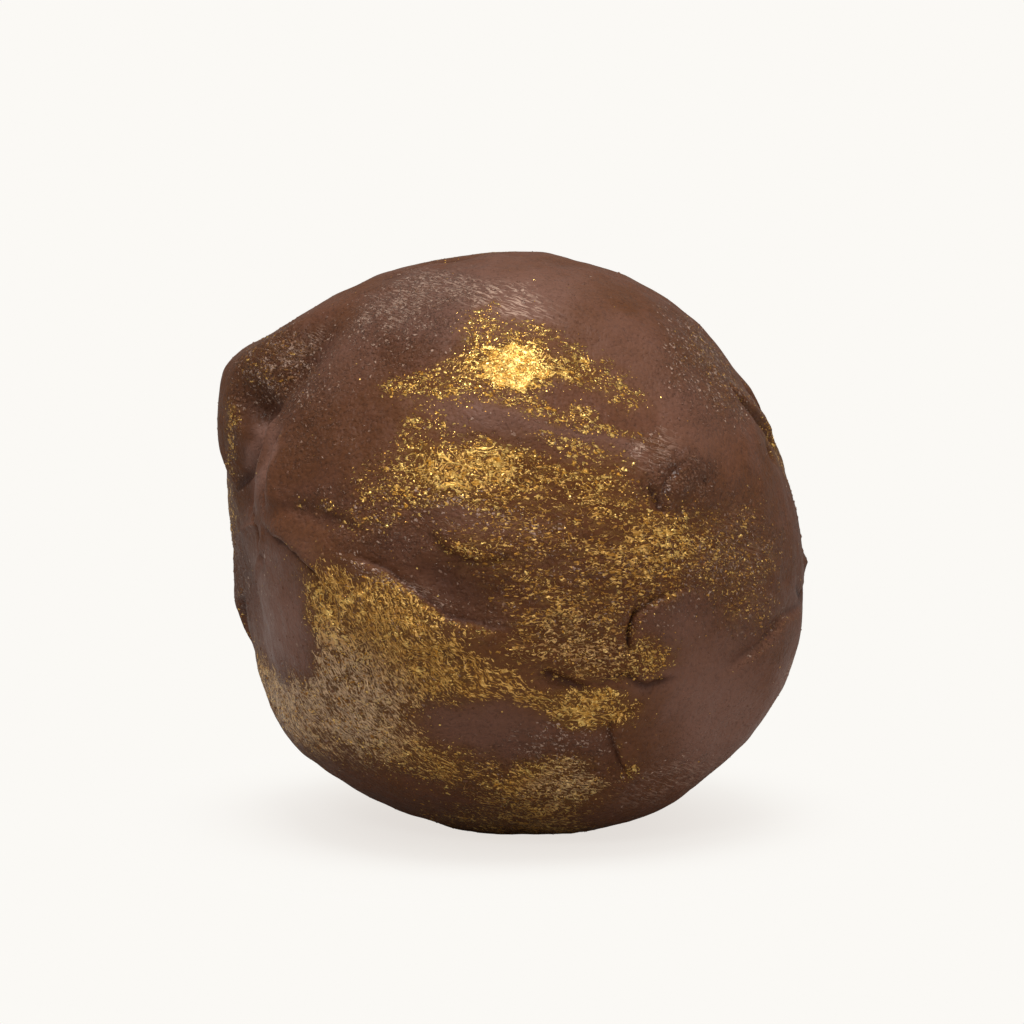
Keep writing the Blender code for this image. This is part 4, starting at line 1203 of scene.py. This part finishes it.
def coating_material(looks):
    """Satin chocolate with specks, hairs and rows of gold lustre over a thin film."""
    shared_groups()
    material, tree, shader = new_material("gilded_chocolate")
    where = add(tree, "ShaderNodeTexCoord").outputs["Object"]
    turn_axis = tuple(place(*BRUSH_TURN))
    specks, film, rows, ashen = (stored(tree, name) for name in ("specks", "film", "rows", "ashen"))
    bare, rough, warm, scuff = (stored(tree, name) for name in ("bare", "rough", "warm", "scuff"))
    hollow, mauve_sheen, dust = (stored(tree, name) for name in ("hollow", "mauve_sheen", "dust"))

    # Where the gold grains, the rows, the grit and the hairs lie.
    slow = stepped(tree, lumps(tree, where, SLOW_LUMPS, 3.0, 0.65), 0.36, 0.60, 0.34, 0.74)
    tangled = times_plus(tree, film, 1.0, 0.45)
    bright = use(tree, "dust_grains", vector=where, axis=SPECK_AXIS, cover=specks,
                 size=looks.speck_size, stretch=1.5, threads=tangled).outputs
    row = use(tree, "dust_grains", vector=where, axis=LEVEL_AXIS,
              cover=most(tree, times(tree, rows, 0.94),
                         times(tree, film, times(tree, slow, 0.75))),
              size=looks.speck_size * 0.66, stretch=2.2, threads=0.7).outputs
    grit = use(tree, "dust_grains", vector=where, axis=GRIT_AXIS,
               cover=most(tree, dust, times(tree, rough, 0.78)),
               size=looks.grit_size, stretch=1.3, threads=0.5).outputs
    # Pale grains of dust, which also paint glints on the coating's grains.
    pale_grit_and_glints = times(tree, grit["Mask"],
                      stepped(tree, times_plus(tree, dust, 0.5, grit["Glint"]), 0.72, 1.12))
    rough_grit = times(tree, grit["Mask"], rough)
    # Painted shade in the gaps between the grains of rough coating.
    shade_between_grit = times(tree, less(tree, 1.0, grit["Mask"]), rough)
    swept = use(tree, "brushed_hairs", vector=where, axis=turn_axis,
                along=0.36 * MM, across=0.068 * MM, waver=0.32 * MM).outputs["Value"]
    hair_bar = stepped(tree, times(tree, film, slow), 0.0, 0.5, 0.66, 0.47)
    hair = stepped(tree, less(tree, swept, hair_bar), 0.0, 0.06)
    hair = times(tree, hair, stepped(tree, film, 0.05, 0.3))
    brushed = most(tree, hair, row["Mask"])

    # The chocolate under them, with its film, its painted shade, its painted sheen and its painted
    # glints.
    crack_shade = stored(tree, "crack_shade")
    # Painted shade, in the hollows and in the cracks.
    painted_shade = times_plus(tree, hollow, 0.5, times(tree, crack_shade, 0.9), clamp=True)
    brown = chocolate(tree, looks, where, times(tree, warm, 0.8), painted_shade)
    scratch = use(tree, "brushed_hairs", vector=where, axis=SCRATCH_AXIS,
                  along=0.7 * MM, across=0.075 * MM, waver=0.25 * MM).outputs["Value"]
    scratched = times(tree, scuff, stepped(tree, scratch, 0.49, 0.63), clamp=True)
    # Painted sheen: a lighter mauve on smooth coating, partly its own tone.
    brown = blended(tree, times(tree, mauve_sheen, 0.85), brown, opaque(looks.mauve_sheen_brown))
    brown = blended(tree, times(tree, scratched, 0.88), brown, opaque(looks.scuff_and_glint_colour))
    brown = blended(tree, times(tree, rough_grit, 0.55), brown, opaque(looks.grit_brown))
    # Painted shade between the grains.
    brown = blended(tree, times(tree, shade_between_grit, 0.38), brown, opaque(looks.dark_brown))
    film_share = times_plus(tree, specks, 0.7, plus(tree, film, rows))
    tinted = times(tree, film_share, 1.0, clamp=True)
    wavy = use(tree, "brushed_hairs", vector=where, axis=LEVEL_AXIS,
               along=1.1 * MM, across=0.22 * MM, waver=0.5 * MM).outputs["Value"]
    glow = most(tree, film, stepped(tree, wavy, 0.46, 0.62))
    rust = blended(tree, glow, opaque(looks.rust_brown), opaque(looks.film_brown))
    brown = blended(tree, tinted, brown, rust)
    # Painted shade in the gaps between the grains of the rows and the hairs.
    between_rows = times(tree, less(tree, 1.0, brushed), most(tree, rows, film))
    brown = blended(tree, times(tree, between_rows, 0.30), brown, opaque(looks.dark_brown))
    # Painted shade in the cracks.
    brown = blended(tree, times(tree, crack_shade, 0.9), brown, opaque(looks.dark_brown))
    # Pale dust, and painted glints on the grains.
    brown = blended(tree, times(tree, pale_grit_and_glints, 0.70), brown, opaque(looks.scuff_and_glint_colour))

    # The gold over it.
    glinting = gold(tree, bright["Glint"], looks.deep_gold, looks.pale_gold)
    glinting = blended(tree, times(tree, ashen, 0.6), glinting, opaque(looks.ashen_gold))
    row_tone = times(tree, stepped(tree, row["Glint"], 0.3, 1.0), row["Mask"])
    hair_tone = times(tree, hair, stepped(tree, swept, 0.52, 0.66))
    tone = most(tree, hair_tone, row_tone)
    dull = gold(tree, tone, looks.dull_gold, looks.brushed_gold)
    dull = blended(tree, times(tree, ashen, 0.75), dull, opaque(looks.ashen_gold))
    surface = blended(tree, brushed, brown, dull)
    surface = blended(tree, bright["Mask"], surface, glinting)
    tree.links.new(surface, shader.inputs["Base Color"])
    metal = most(tree, times(tree, brushed, 0.75), times(tree, bright["Mask"], 0.95))
    metal = most(tree, metal, times(tree, tinted, 0.20))
    tree.links.new(metal, shader.inputs["Metallic"])

    # Satin where the coating is smooth, and gloss on the grit.
    patchy = stepped(tree, lumps(tree, where, SLOW_LUMPS, 3.0), 0.3, 0.7, 0.46, 0.60)
    satin = less(tree, patchy, times(tree, bare, 0.06))
    gold_rough = stepped(tree, bright["Glint"], 0.0, 1.0, 0.46, 0.26)
    tree.links.new(between(tree, metal, satin, gold_rough), shader.inputs["Roughness"])
    gloss = times(tree, grit["Mask"], most(tree, rough, dust))
    tree.links.new(times(tree, gloss, 0.6), shader.inputs["Coat Weight"])
    shader.inputs["Coat Roughness"].default_value = 0.22

    # The fine relief.
    grain = use(tree, "coating_grain", vector=where, size=GRAIN_SIZE,
                amount=stepped(tree, rough, 0.0, 1.0, 0.60, 1.5)).outputs["Height"]
    height = times(tree, grain, GRAIN_BUMP)
    height = times_plus(tree, times(tree, swept, film), HAIR_BUMP, height)
    height = times_plus(tree, row["Dome"], ROW_BUMP, height)
    height = times_plus(tree, bright["Dome"], SPECK_BUMP, height)
    height = times_plus(tree, grit["Dome"], stepped(tree, rough, 0.0, 1.0, *GRIT_BUMPS), height)
    bump = add(tree, "ShaderNodeBump", {"Height": height, "Distance": MM, "Strength": 1.0})
    tree.links.new(bump.outputs["Normal"], shader.inputs["Normal"])
    shader.inputs["Specular IOR Level"].default_value = 0.21
    return material


def flake_material(looks):
    """Loose flakes of gold lustre."""
    shared_groups()
    material, tree, shader = new_material("lustre_flake")
    glint = stored(tree, "glint")
    tone = gold(tree, glint, looks.deep_gold, looks.pale_gold)
    tree.links.new(tone, shader.inputs["Base Color"])
    tree.links.new(stepped(tree, glint, 0.0, 1.0, 0.45, 0.24), shader.inputs["Roughness"])
    shader.inputs["Metallic"].default_value = 1.0
    return material


def crumb_material(looks):
    """Small lumps of the same chocolate."""
    shared_groups()
    material, tree, shader = new_material("chocolate_crumb")
    where = add(tree, "ShaderNodeTexCoord").outputs["Object"]
    brown = chocolate(tree, looks, where, stored(tree, "warm"), 0.0)
    gilt = stored(tree, "gilt")
    tree.links.new(blended(tree, gilt, brown, opaque(looks.dull_gold)), shader.inputs["Base Color"])
    tree.links.new(times(tree, gilt, 0.7), shader.inputs["Metallic"])
    grain = use(tree, "coating_grain", vector=where,
                size=0.12 * MM, amount=0.02).outputs["Height"]
    bump = add(tree, "ShaderNodeBump", {"Height": grain, "Distance": MM})
    tree.links.new(bump.outputs["Normal"], shader.inputs["Normal"])
    shader.inputs["Roughness"].default_value = 0.55
    return material


def splinter_material(looks):
    """Pale splinters and sugar-fine crystals."""
    material, tree, shader = new_material("pale_splinter")
    where = add(tree, "ShaderNodeTexCoord").outputs["Object"]
    fine = lumps(tree, where, 0.2 * MM)
    tone = blended(tree, fine, opaque(looks.scuff_and_glint_colour), CRYSTAL_COLOUR)
    tree.links.new(tone, shader.inputs["Base Color"])
    shader.inputs["Roughness"].default_value = 0.4
    return material


def surface_spots(body, weights, count, draw):
    """Points spread over the body by weight.

    Gives their places, their outward directions and the nearest corners.
    """
    mesh = body.data
    mesh.calc_loop_triangles()
    corners = np.empty(len(mesh.loop_triangles) * 3, dtype=np.int32)
    mesh.loop_triangles.foreach_get("vertices", corners)
    corners = corners.reshape(-1, 3)
    points = np.empty(len(mesh.vertices) * 3)
    mesh.vertices.foreach_get("co", points)
    points = points.reshape(-1, 3)
    a, b, c = (points[corners[:, k]] for k in range(3))
    normals = np.cross(b - a, c - a)
    areas = np.linalg.norm(normals, axis=1)
    chances = areas * weights[corners].mean(axis=1)
    chosen = draw.choice(len(corners), size=count, p=chances / chances.sum())
    u, v = draw.random((2, count))
    outside = u + v > 1
    u[outside], v[outside] = 1 - u[outside], 1 - v[outside]
    spots = a[chosen] + u[:, None] * (b - a)[chosen] + v[:, None] * (c - a)[chosen]
    return spots, unit(normals[chosen]), corners[chosen, 0]


def side_directions(outward, draw):
    """Two directions across each outward one, turned at random."""
    first = unit(np.cross(outward, draw.normal(size=outward.shape)))
    return first, np.cross(outward, first)


def repeated_faces(count, pattern, points_each):
    """The faces of many like pieces, from those of the first."""
    return (np.arange(count)[:, None, None] * points_each + np.array(pattern)).reshape(-1, 3)


def flakes_mesh(spots, outward, width, thickness, draw):
    """Flat five-sided chips, each one closed."""
    count = len(spots)
    tilted = unit(outward + FLAKE_TILT * draw.normal(size=outward.shape))
    first, second = side_directions(tilted, draw)
    sizes = width / 2 * draw.lognormal(0, SIZE_SPREAD, size=count)
    sizes = np.minimum(sizes, width)
    turns = np.arange(FLAKE_SIDES) * 2 * np.pi / FLAKE_SIDES
    ring = np.empty((count, FLAKE_SIDES, 3))
    for k, turn in enumerate(turns):
        reach = sizes * draw.uniform(0.65, 1.2, size=count)
        across, upward = np.cos(turn) * reach, np.sin(turn) * reach
        ring[:, k] = across[:, None] * first + upward[:, None] * second
    ring += spots[:, None, :]
    top = spots + tilted * thickness
    bottom = spots - tilted * thickness
    points = np.concatenate((ring, top[:, None], bottom[:, None]), axis=1).reshape(-1, 3)
    sides = [(k, (k + 1) % FLAKE_SIDES) for k in range(FLAKE_SIDES)]
    upper = [(k, after, FLAKE_SIDES) for k, after in sides]
    lower = [(after, k, FLAKE_SIDES + 1) for k, after in sides]
    return points, repeated_faces(count, upper + lower, FLAKE_SIDES + 2)


def stored_values(body, name):
    """A finish as stored at the body's points."""
    values = np.empty(len(body.data.vertices), dtype=np.float32)
    body.data.attributes[name].data.foreach_get("value", values)
    return values.astype(float)


def lump_mesh(spots, outward, width, draw):
    """Small uneven lumps, each with twenty faces, sunk in the coating."""
    golden = (1 + 5**0.5) / 2
    corners = unit(np.array([(-1, golden, 0), (1, golden, 0), (-1, -golden, 0), (1, -golden, 0),
                             (0, -1, golden), (0, 1, golden), (0, -1, -golden), (0, 1, -golden),
                             (golden, 0, -1), (golden, 0, 1), (-golden, 0, -1), (-golden, 0, 1)]))
    pattern = [(0, 11, 5), (0, 5, 1), (0, 1, 7), (0, 7, 10), (0, 10, 11),
               (1, 5, 9), (5, 11, 4), (11, 10, 2), (10, 7, 6), (7, 1, 8),
               (3, 9, 4), (3, 4, 2), (3, 2, 6), (3, 6, 8), (3, 8, 9),
               (4, 9, 5), (2, 4, 11), (6, 2, 10), (8, 6, 7), (9, 8, 1)]
    count = len(spots)
    sizes = width / 2 * draw.lognormal(0, SIZE_SPREAD, size=count)
    sizes = np.minimum(sizes, width)
    shapes = corners[None] * draw.uniform(0.7, 1.25, size=(count, CRUMB_POINTS, 1))
    shapes = shapes * draw.uniform(0.7, 1.3, size=(count, 1, 3)) * sizes[:, None, None]
    middles = spots - outward * (LUMP_SUNK * sizes)[:, None]
    points = (shapes + middles[:, None]).reshape(-1, 3)
    return points, repeated_faces(count, pattern, CRUMB_POINTS)


def splinter_mesh(spots, outward, width, draw):
    """Thin three-sided splinters that lie along the coating."""
    count = len(spots)
    first, second = side_directions(outward, draw)
    lengths = width * draw.uniform(2.0, 5.0, size=count)
    thick = width * draw.uniform(0.25, 0.5, size=count)
    base = spots - outward * (0.1 * width)
    half = first * (0.5 * lengths)[:, None]
    raised = outward * (0.25 * lengths * draw.random(count))[:, None]
    side = second * thick[:, None]
    points = np.stack((base - half, base + side, base - side, base + outward * thick[:, None],
                       spots + half + raised), axis=1)
    pattern = [(0, 1, 3), (0, 3, 2), (0, 2, 1), (4, 3, 1), (4, 2, 3), (4, 1, 2)]
    return points.reshape(-1, 3), repeated_faces(count, pattern, points.shape[1])


def ride_as_chocolate(piece):
    """Lets a piece move with the praline."""
    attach(piece, "root")


class PralineForm(bpy.types.PropertyGroup):
    """Sizes of the praline's skin."""

    cells: bpy.props.IntProperty(
        name="Cells", description="Cells along each side of the box that the ball is made from",
        default=128, min=16, max=128)
    relief_height: bpy.props.FloatProperty(
        name="Relief height", description="Height of the small bumps on the coating",
        default=0.068 * MM, precision=6, subtype="DISTANCE", unit="LENGTH")
    ripple_height: bpy.props.FloatProperty(
        name="Ripple height", description="Height of the ripples under the lustre",
        default=0.050 * MM, precision=6, subtype="DISTANCE", unit="LENGTH")


class PralineCoating(bpy.types.PropertyGroup):
    """Colours of the chocolate and the gold."""

    plain_brown: bpy.props.FloatVectorProperty(
        name="Plain brown", description="Colour of the smooth coating",
        default=(0.146, 0.054, 0.026), size=3, subtype="COLOR", min=0, max=1)
    warm_brown: bpy.props.FloatVectorProperty(
        name="Warm brown", description="Colour of the coating where it is thin",
        default=(0.124, 0.042, 0.013), size=3, subtype="COLOR", min=0, max=1)
    grit_brown: bpy.props.FloatVectorProperty(
        name="Grit brown", description="Colour of the grains on rough coating",
        default=(0.290, 0.120, 0.052), size=3, subtype="COLOR", min=0, max=1)
    # Dark brown is the mottle's own tone, and also the painted shade in hollows, cracks and between
    # grains.
    dark_brown: bpy.props.FloatVectorProperty(
        name="Dark brown", description="Colour of the coating in its hollows",
        default=(0.06, 0.02, 0.01), size=3, subtype="COLOR", min=0, max=1)
    film_brown: bpy.props.FloatVectorProperty(
        name="Film brown", description="Colour of the thin film under the gold hairs",
        default=(0.180, 0.074, 0.013), size=3, subtype="COLOR", min=0, max=1)
    rust_brown: bpy.props.FloatVectorProperty(
        name="Rust brown", description="Colour of the thin film under the rows of gold",
        default=(0.128, 0.039, 0.005), size=3, subtype="COLOR", min=0, max=1)
    # The mauve is a painted sheen on smooth coating, partly the coating's own tone.
    mauve_sheen_brown: bpy.props.FloatVectorProperty(
        name="Mauve sheen brown", description="Colour of the coating where it is thick and smooth",
        default=(0.210, 0.100, 0.069), size=3, subtype="COLOR", min=0, max=1)
    # The scuff colour also paints the glints on the coating's grains.
    scuff_and_glint_colour: bpy.props.FloatVectorProperty(
        name="Scuff and glint", description="Colour of scratched coating",
        default=(0.58, 0.38, 0.28), size=3, subtype="COLOR", min=0, max=1)
    deep_gold: bpy.props.FloatVectorProperty(
        name="Deep gold", description="Colour of dull gold specks",
        default=(0.60, 0.275, 0.040), size=3, subtype="COLOR", min=0, max=1)
    pale_gold: bpy.props.FloatVectorProperty(
        name="Pale gold", description="Colour of bright gold specks",
        default=(1.0, 0.67, 0.21), size=3, subtype="COLOR", min=0, max=1)
    dull_gold: bpy.props.FloatVectorProperty(
        name="Dull gold", description="Colour of thin brushed gold",
        default=(0.43, 0.195, 0.035), size=3, subtype="COLOR", min=0, max=1)
    brushed_gold: bpy.props.FloatVectorProperty(
        name="Brushed gold", description="Colour of thick brushed gold",
        default=(0.90, 0.54, 0.160), size=3, subtype="COLOR", min=0, max=1)
    ashen_gold: bpy.props.FloatVectorProperty(
        name="Ashen gold", description="Colour of gold that has gone beige",
        default=(0.76, 0.55, 0.37), size=3, subtype="COLOR", min=0, max=1)
    grit_size: bpy.props.FloatProperty(
        name="Grit size", description="Spacing of the grains of chocolate and dust",
        default=0.21 * MM, precision=6, subtype="DISTANCE", unit="LENGTH")
    speck_size: bpy.props.FloatProperty(
        name="Speck size", description="Spacing of the gold specks",
        default=0.25 * MM, precision=6, subtype="DISTANCE", unit="LENGTH")


class PralineDust(bpy.types.PropertyGroup):
    """Numbers and sizes of what lies loose on the praline."""

    flakes: bpy.props.IntProperty(
        name="Flakes", description="How many loose flakes of gold lustre",
        default=10000, min=0, max=19000)
    flake_width: bpy.props.FloatProperty(
        name="Flake width", description="Width of an average flake",
        default=0.08 * MM, precision=6, subtype="DISTANCE", unit="LENGTH")
    flake_thickness: bpy.props.FloatProperty(
        name="Flake thickness", description="Half the thickness of a flake",
        default=0.006 * MM, precision=6, subtype="DISTANCE", unit="LENGTH")
    crumbs: bpy.props.IntProperty(
        name="Crumbs", description="How many small lumps of chocolate",
        default=7000, min=0, max=9000)
    crumb_width: bpy.props.FloatProperty(
        name="Crumb width", description="Width of an average crumb",
        default=0.14 * MM, precision=6, subtype="DISTANCE", unit="LENGTH")
    splinters: bpy.props.IntProperty(
        name="Splinters", description="How many pale splinters", default=420, min=0, max=9000)


class PralineStage(bpy.types.PropertyGroup):
    """The table and the light."""

    paper: bpy.props.FloatVectorProperty(
        name="Paper", description="Colour of the table and what is behind it",
        default=(0.965, 0.947, 0.913), size=3, subtype="COLOR", min=0, max=1)
    overhead_power: bpy.props.FloatProperty(
        name="Overhead", description="Power of the soft light overhead", default=2.5, unit="POWER")
    front_power: bpy.props.FloatProperty(
        name="Front", description="Power of the soft light in front", default=0.72, unit="POWER")
    side_power: bpy.props.FloatProperty(
        name="Side", description="Power of the wide soft light at the right",
        default=0.9, unit="POWER")
    room_light: bpy.props.FloatProperty(
        name="Room light", description="Strength of the light from all round", default=0.35)


class PRALINE_OT_body(bpy.types.Operator):
    """Make the praline's coated body in the place of the solid"""

    bl_idname = "praline.body"
    bl_label = "Make the Body"

    def execute(self, context):
        form = context.scene.praline_form
        points, faces, finish = body_points(form.cells, form.relief_height, form.ripple_height)
        body = mesh_object("gilded_body", fitted(points), faces, finish)
        body.data.materials.append(coating_material(context.scene.praline_coating))
        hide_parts("praline")
        ride_as_chocolate(body)
        return {"FINISHED"}


class PRALINE_OT_flakes(bpy.types.Operator):
    """Scatter loose flakes of gold lustre where the brush went"""

    bl_idname = "praline.flakes"
    bl_label = "Scatter the Flakes"

    def execute(self, context):
        dust = context.scene.praline_dust
        body = bpy.data.objects["gilded_body"]
        draw = np.random.default_rng(FLAKE_SEED)
        weights = stored_values(body, "specks") ** 1.4 + 0.10 * stored_values(body, "film") + 0.004
        spots, outward, _ = surface_spots(body, weights, dust.flakes, draw)
        points, faces = flakes_mesh(spots, outward, dust.flake_width, dust.flake_thickness, draw)
        glint = np.repeat(draw.random(dust.flakes), FLAKE_SIDES + 2)
        flakes = mesh_object("lustre_flakes", kept_inside(points), faces, {"glint": glint})
        flakes.data.shade_flat()
        flakes.data.materials.append(flake_material(context.scene.praline_coating))
        ride_as_chocolate(flakes)
        return {"FINISHED"}


class PRALINE_OT_crumbs(bpy.types.Operator):
    """Scatter small lumps of chocolate over the rough places"""

    bl_idname = "praline.crumbs"
    bl_label = "Scatter the Crumbs"

    def execute(self, context):
        dust = context.scene.praline_dust
        body = bpy.data.objects["gilded_body"]
        draw = np.random.default_rng(CRUMB_SEED)
        weights = stored_values(body, "rough") ** 1.6 + 0.02
        spots, outward, nearest = surface_spots(body, weights, dust.crumbs, draw)
        points, faces = lump_mesh(spots, outward, dust.crumb_width, draw)
        covered = np.max([stored_values(body, key) for key in ("film", "rows", "specks")], axis=0)
        warm = stored_values(body, "warm")[nearest]
        gilt = (covered[nearest] * draw.random(dust.crumbs)) ** 0.7
        finish = {"warm": np.repeat(warm, CRUMB_POINTS), "gilt": np.repeat(gilt, CRUMB_POINTS)}
        crumbs = mesh_object("chocolate_crumbs", kept_inside(points), faces, finish)
        crumbs.data.materials.append(crumb_material(context.scene.praline_coating))
        ride_as_chocolate(crumbs)
        return {"FINISHED"}


class PRALINE_OT_splinters(bpy.types.Operator):
    """Scatter pale splinters where the coating was scratched"""

    bl_idname = "praline.splinters"
    bl_label = "Scatter the Splinters"

    def execute(self, context):
        dust = context.scene.praline_dust
        body = bpy.data.objects["gilded_body"]
        draw = np.random.default_rng(SPLINTER_SEED)
        weights = stored_values(body, "scuff") + 0.02 + 0.05 * stored_values(body, "rough")
        spots, outward, _ = surface_spots(body, weights, dust.splinters, draw)
        points, faces = splinter_mesh(spots, outward, SPLINTER_WIDTH, draw)
        splinters = mesh_object("pale_splinters", kept_inside(points), faces)
        splinters.data.materials.append(splinter_material(context.scene.praline_coating))
        ride_as_chocolate(splinters)
        return {"FINISHED"}


def lamps(looks):
    """Each light's name, azimuth and elevation in degrees, width and power."""
    return (
        ("overhead", 0, 80, 0.30, looks.overhead_power),
        ("front_left", -20, 36, 0.16, looks.front_power),
        ("side_right", 62, 4, 0.50, looks.side_power),
    )


def floor_light(looks):
    """How brightly a white floor would glow under the lights with nothing on it."""
    glow = looks.room_light
    for _, _, elevation, _, power in lamps(looks):
        glow += power * np.sin(np.radians(elevation)) / (np.pi * LAMP_DISTANCE) ** 2
    return float(glow)


def soft_light(name, centre, azimuth, elevation, width, power):
    """A round soft light that faces the praline from an azimuth and an elevation."""
    turn, rise = np.radians((azimuth, elevation))
    towards = Vector((np.sin(turn) * np.cos(rise), -np.cos(turn) * np.cos(rise), np.sin(rise)))
    lamp = bpy.data.lights.new(name, "AREA")
    lamp.shape = "DISK"
    lamp.size = width
    lamp.energy = power
    made = bpy.data.objects.new(name, lamp)
    made.location = centre + towards * LAMP_DISTANCE
    made.rotation_euler = towards.to_track_quat("Z", "Y").to_euler()
    bpy.context.scene.collection.objects.link(made)
    return made


def paper_material(paper, light):
    """White paper: bright to the camera, and a little shaded near the praline."""
    material, tree, shader = new_material("white_paper")
    tree.nodes.remove(shader)
    output = tree.nodes["Material Output"]
    where = add(tree, "ShaderNodeTexCoord").outputs["Object"]
    away = add(tree, "ShaderNodeVectorMath", {0: where}, operation="LENGTH").outputs["Value"]
    plain = add(tree, "ShaderNodeEmission", {"Color": opaque(paper), "Strength": 1.0}).outputs[0]
    shaded_by = [share * shade for share, shade in zip(paper, SHADE_SHARES, strict=True)]
    glow = [share - light * shade for share, shade in zip(paper, shaded_by, strict=True)]
    lit = add(tree, "ShaderNodeBsdfDiffuse", {"Color": opaque(shaded_by)}).outputs[0]
    base = add(tree, "ShaderNodeEmission", {"Color": opaque(glow), "Strength": 1.0}).outputs[0]
    near = add(tree, "ShaderNodeAddShader", {0: lit, 1: base}).outputs[0]
    share = stepped(tree, away, *SHADE_FADES)
    seen = add(tree, "ShaderNodeMixShader", {0: share, 1: near, 2: plain}).outputs[0]
    dim = add(tree, "ShaderNodeBsdfDiffuse", {"Color": BOUNCE_COLOUR}).outputs[0]
    ray = add(tree, "ShaderNodeLightPath").outputs["Is Camera Ray"]
    whole = add(tree, "ShaderNodeMixShader", {0: ray, 1: dim, 2: seen}).outputs[0]
    tree.links.new(whole, output.inputs["Surface"])
    return material


def room(paper, strength):
    """Even light from all round, behind the same white paper."""
    world = bpy.data.worlds.new("room")
    world.use_nodes = True
    tree = world.node_tree
    background = tree.nodes["Background"]
    background.inputs["Color"].default_value = ROOM_COLOUR
    background.inputs["Strength"].default_value = strength
    seen = add(tree, "ShaderNodeBackground", {"Color": opaque(paper), "Strength": 1.0}).outputs[0]
    ray = add(tree, "ShaderNodeLightPath").outputs["Is Camera Ray"]
    both = add(tree, "ShaderNodeMixShader", {0: ray, 1: background.outputs[0], 2: seen})
    tree.links.new(both.outputs[0], tree.nodes["World Output"].inputs["Surface"])
    bpy.context.scene.world = world


class PRALINE_OT_stage(bpy.types.Operator):
    """Set the paper, the lights and the camera"""

    bl_idname = "praline.stage"
    bl_label = "Set the Stage"

    def execute(self, context):
        looks = context.scene.praline_stage
        scene = context.scene
        corners = np.array([(-1.0, -1.0, 0.0), (1.0, -1.0, 0.0), (1.0, 1.0, 0.0), (-1.0, 1.0, 0.0)])
        paper = mesh_object("paper", corners * PAPER_REACH, np.array([(0, 1, 2, 3)]))
        paper.data.materials.append(paper_material(looks.paper, floor_light(looks)))
        paper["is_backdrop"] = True
        room(looks.paper, looks.room_light)
        middle = (CAD_LOW + CAD_HIGH) / 2
        centre = Vector((middle[0], middle[1], CENTRE_HEIGHT))
        for name, azimuth, elevation, width, power in lamps(looks):
            soft_light(name, centre, azimuth, elevation, width, power)
        right, up, towards = (Vector(axis) for axis in view_axes("front"))
        lens = bpy.data.cameras.new("camera")
        lens.lens = LENS_LENGTH
        lens.sensor_width = SENSOR_WIDTH
        lens.clip_start = NEAREST_SEEN
        camera = bpy.data.objects.new("camera", lens)
        camera.location = centre + towards * EYE_DISTANCE + up * CAMERA_LIFT
        camera.rotation_euler = towards.to_track_quat("Z", "Y").to_euler()
        scene.collection.objects.link(camera)
        scene.camera = camera
        scene.view_settings.view_transform = "Standard"
        return {"FINISHED"}


class VIEW3D_PT_praline(bpy.types.Panel):
    """The praline's sizes, colours and makers"""

    bl_label = "Gilded Praline"
    bl_space_type = "VIEW_3D"
    bl_region_type = "UI"
    bl_category = "Praline"

    def draw(self, context):
        scene = context.scene
        for name in GROUPS:
            group = getattr(scene, name)
            box = self.layout.box()
            for key in group.bl_rna.properties.keys():
                if key not in ("rna_type", "name"):
                    box.prop(group, key)
        for maker in MAKERS:
            self.layout.operator(maker.bl_idname)


MAKERS = (PRALINE_OT_body, PRALINE_OT_flakes, PRALINE_OT_crumbs, PRALINE_OT_splinters,
          PRALINE_OT_stage)
GROUPS = {
    "praline_form": PralineForm,
    "praline_coating": PralineCoating,
    "praline_dust": PralineDust,
    "praline_stage": PralineStage,
}


def register():
    for one in (*GROUPS.values(), *MAKERS, VIEW3D_PT_praline):
        bpy.utils.register_class(one)
    for name, group in GROUPS.items():
        setattr(bpy.types.Scene, name, bpy.props.PointerProperty(type=group))


def unregister():
    for name in GROUPS:
        delattr(bpy.types.Scene, name)
    for one in (VIEW3D_PT_praline, *MAKERS, *GROUPS.values()):
        bpy.utils.unregister_class(one)


def main():
    """Makes every piece in order."""
    register()
    bpy.ops.praline.body()
    bpy.ops.praline.flakes()
    bpy.ops.praline.crumbs()
    bpy.ops.praline.splinters()
    bpy.ops.praline.stage()


if __name__ == "__main__":
    main()
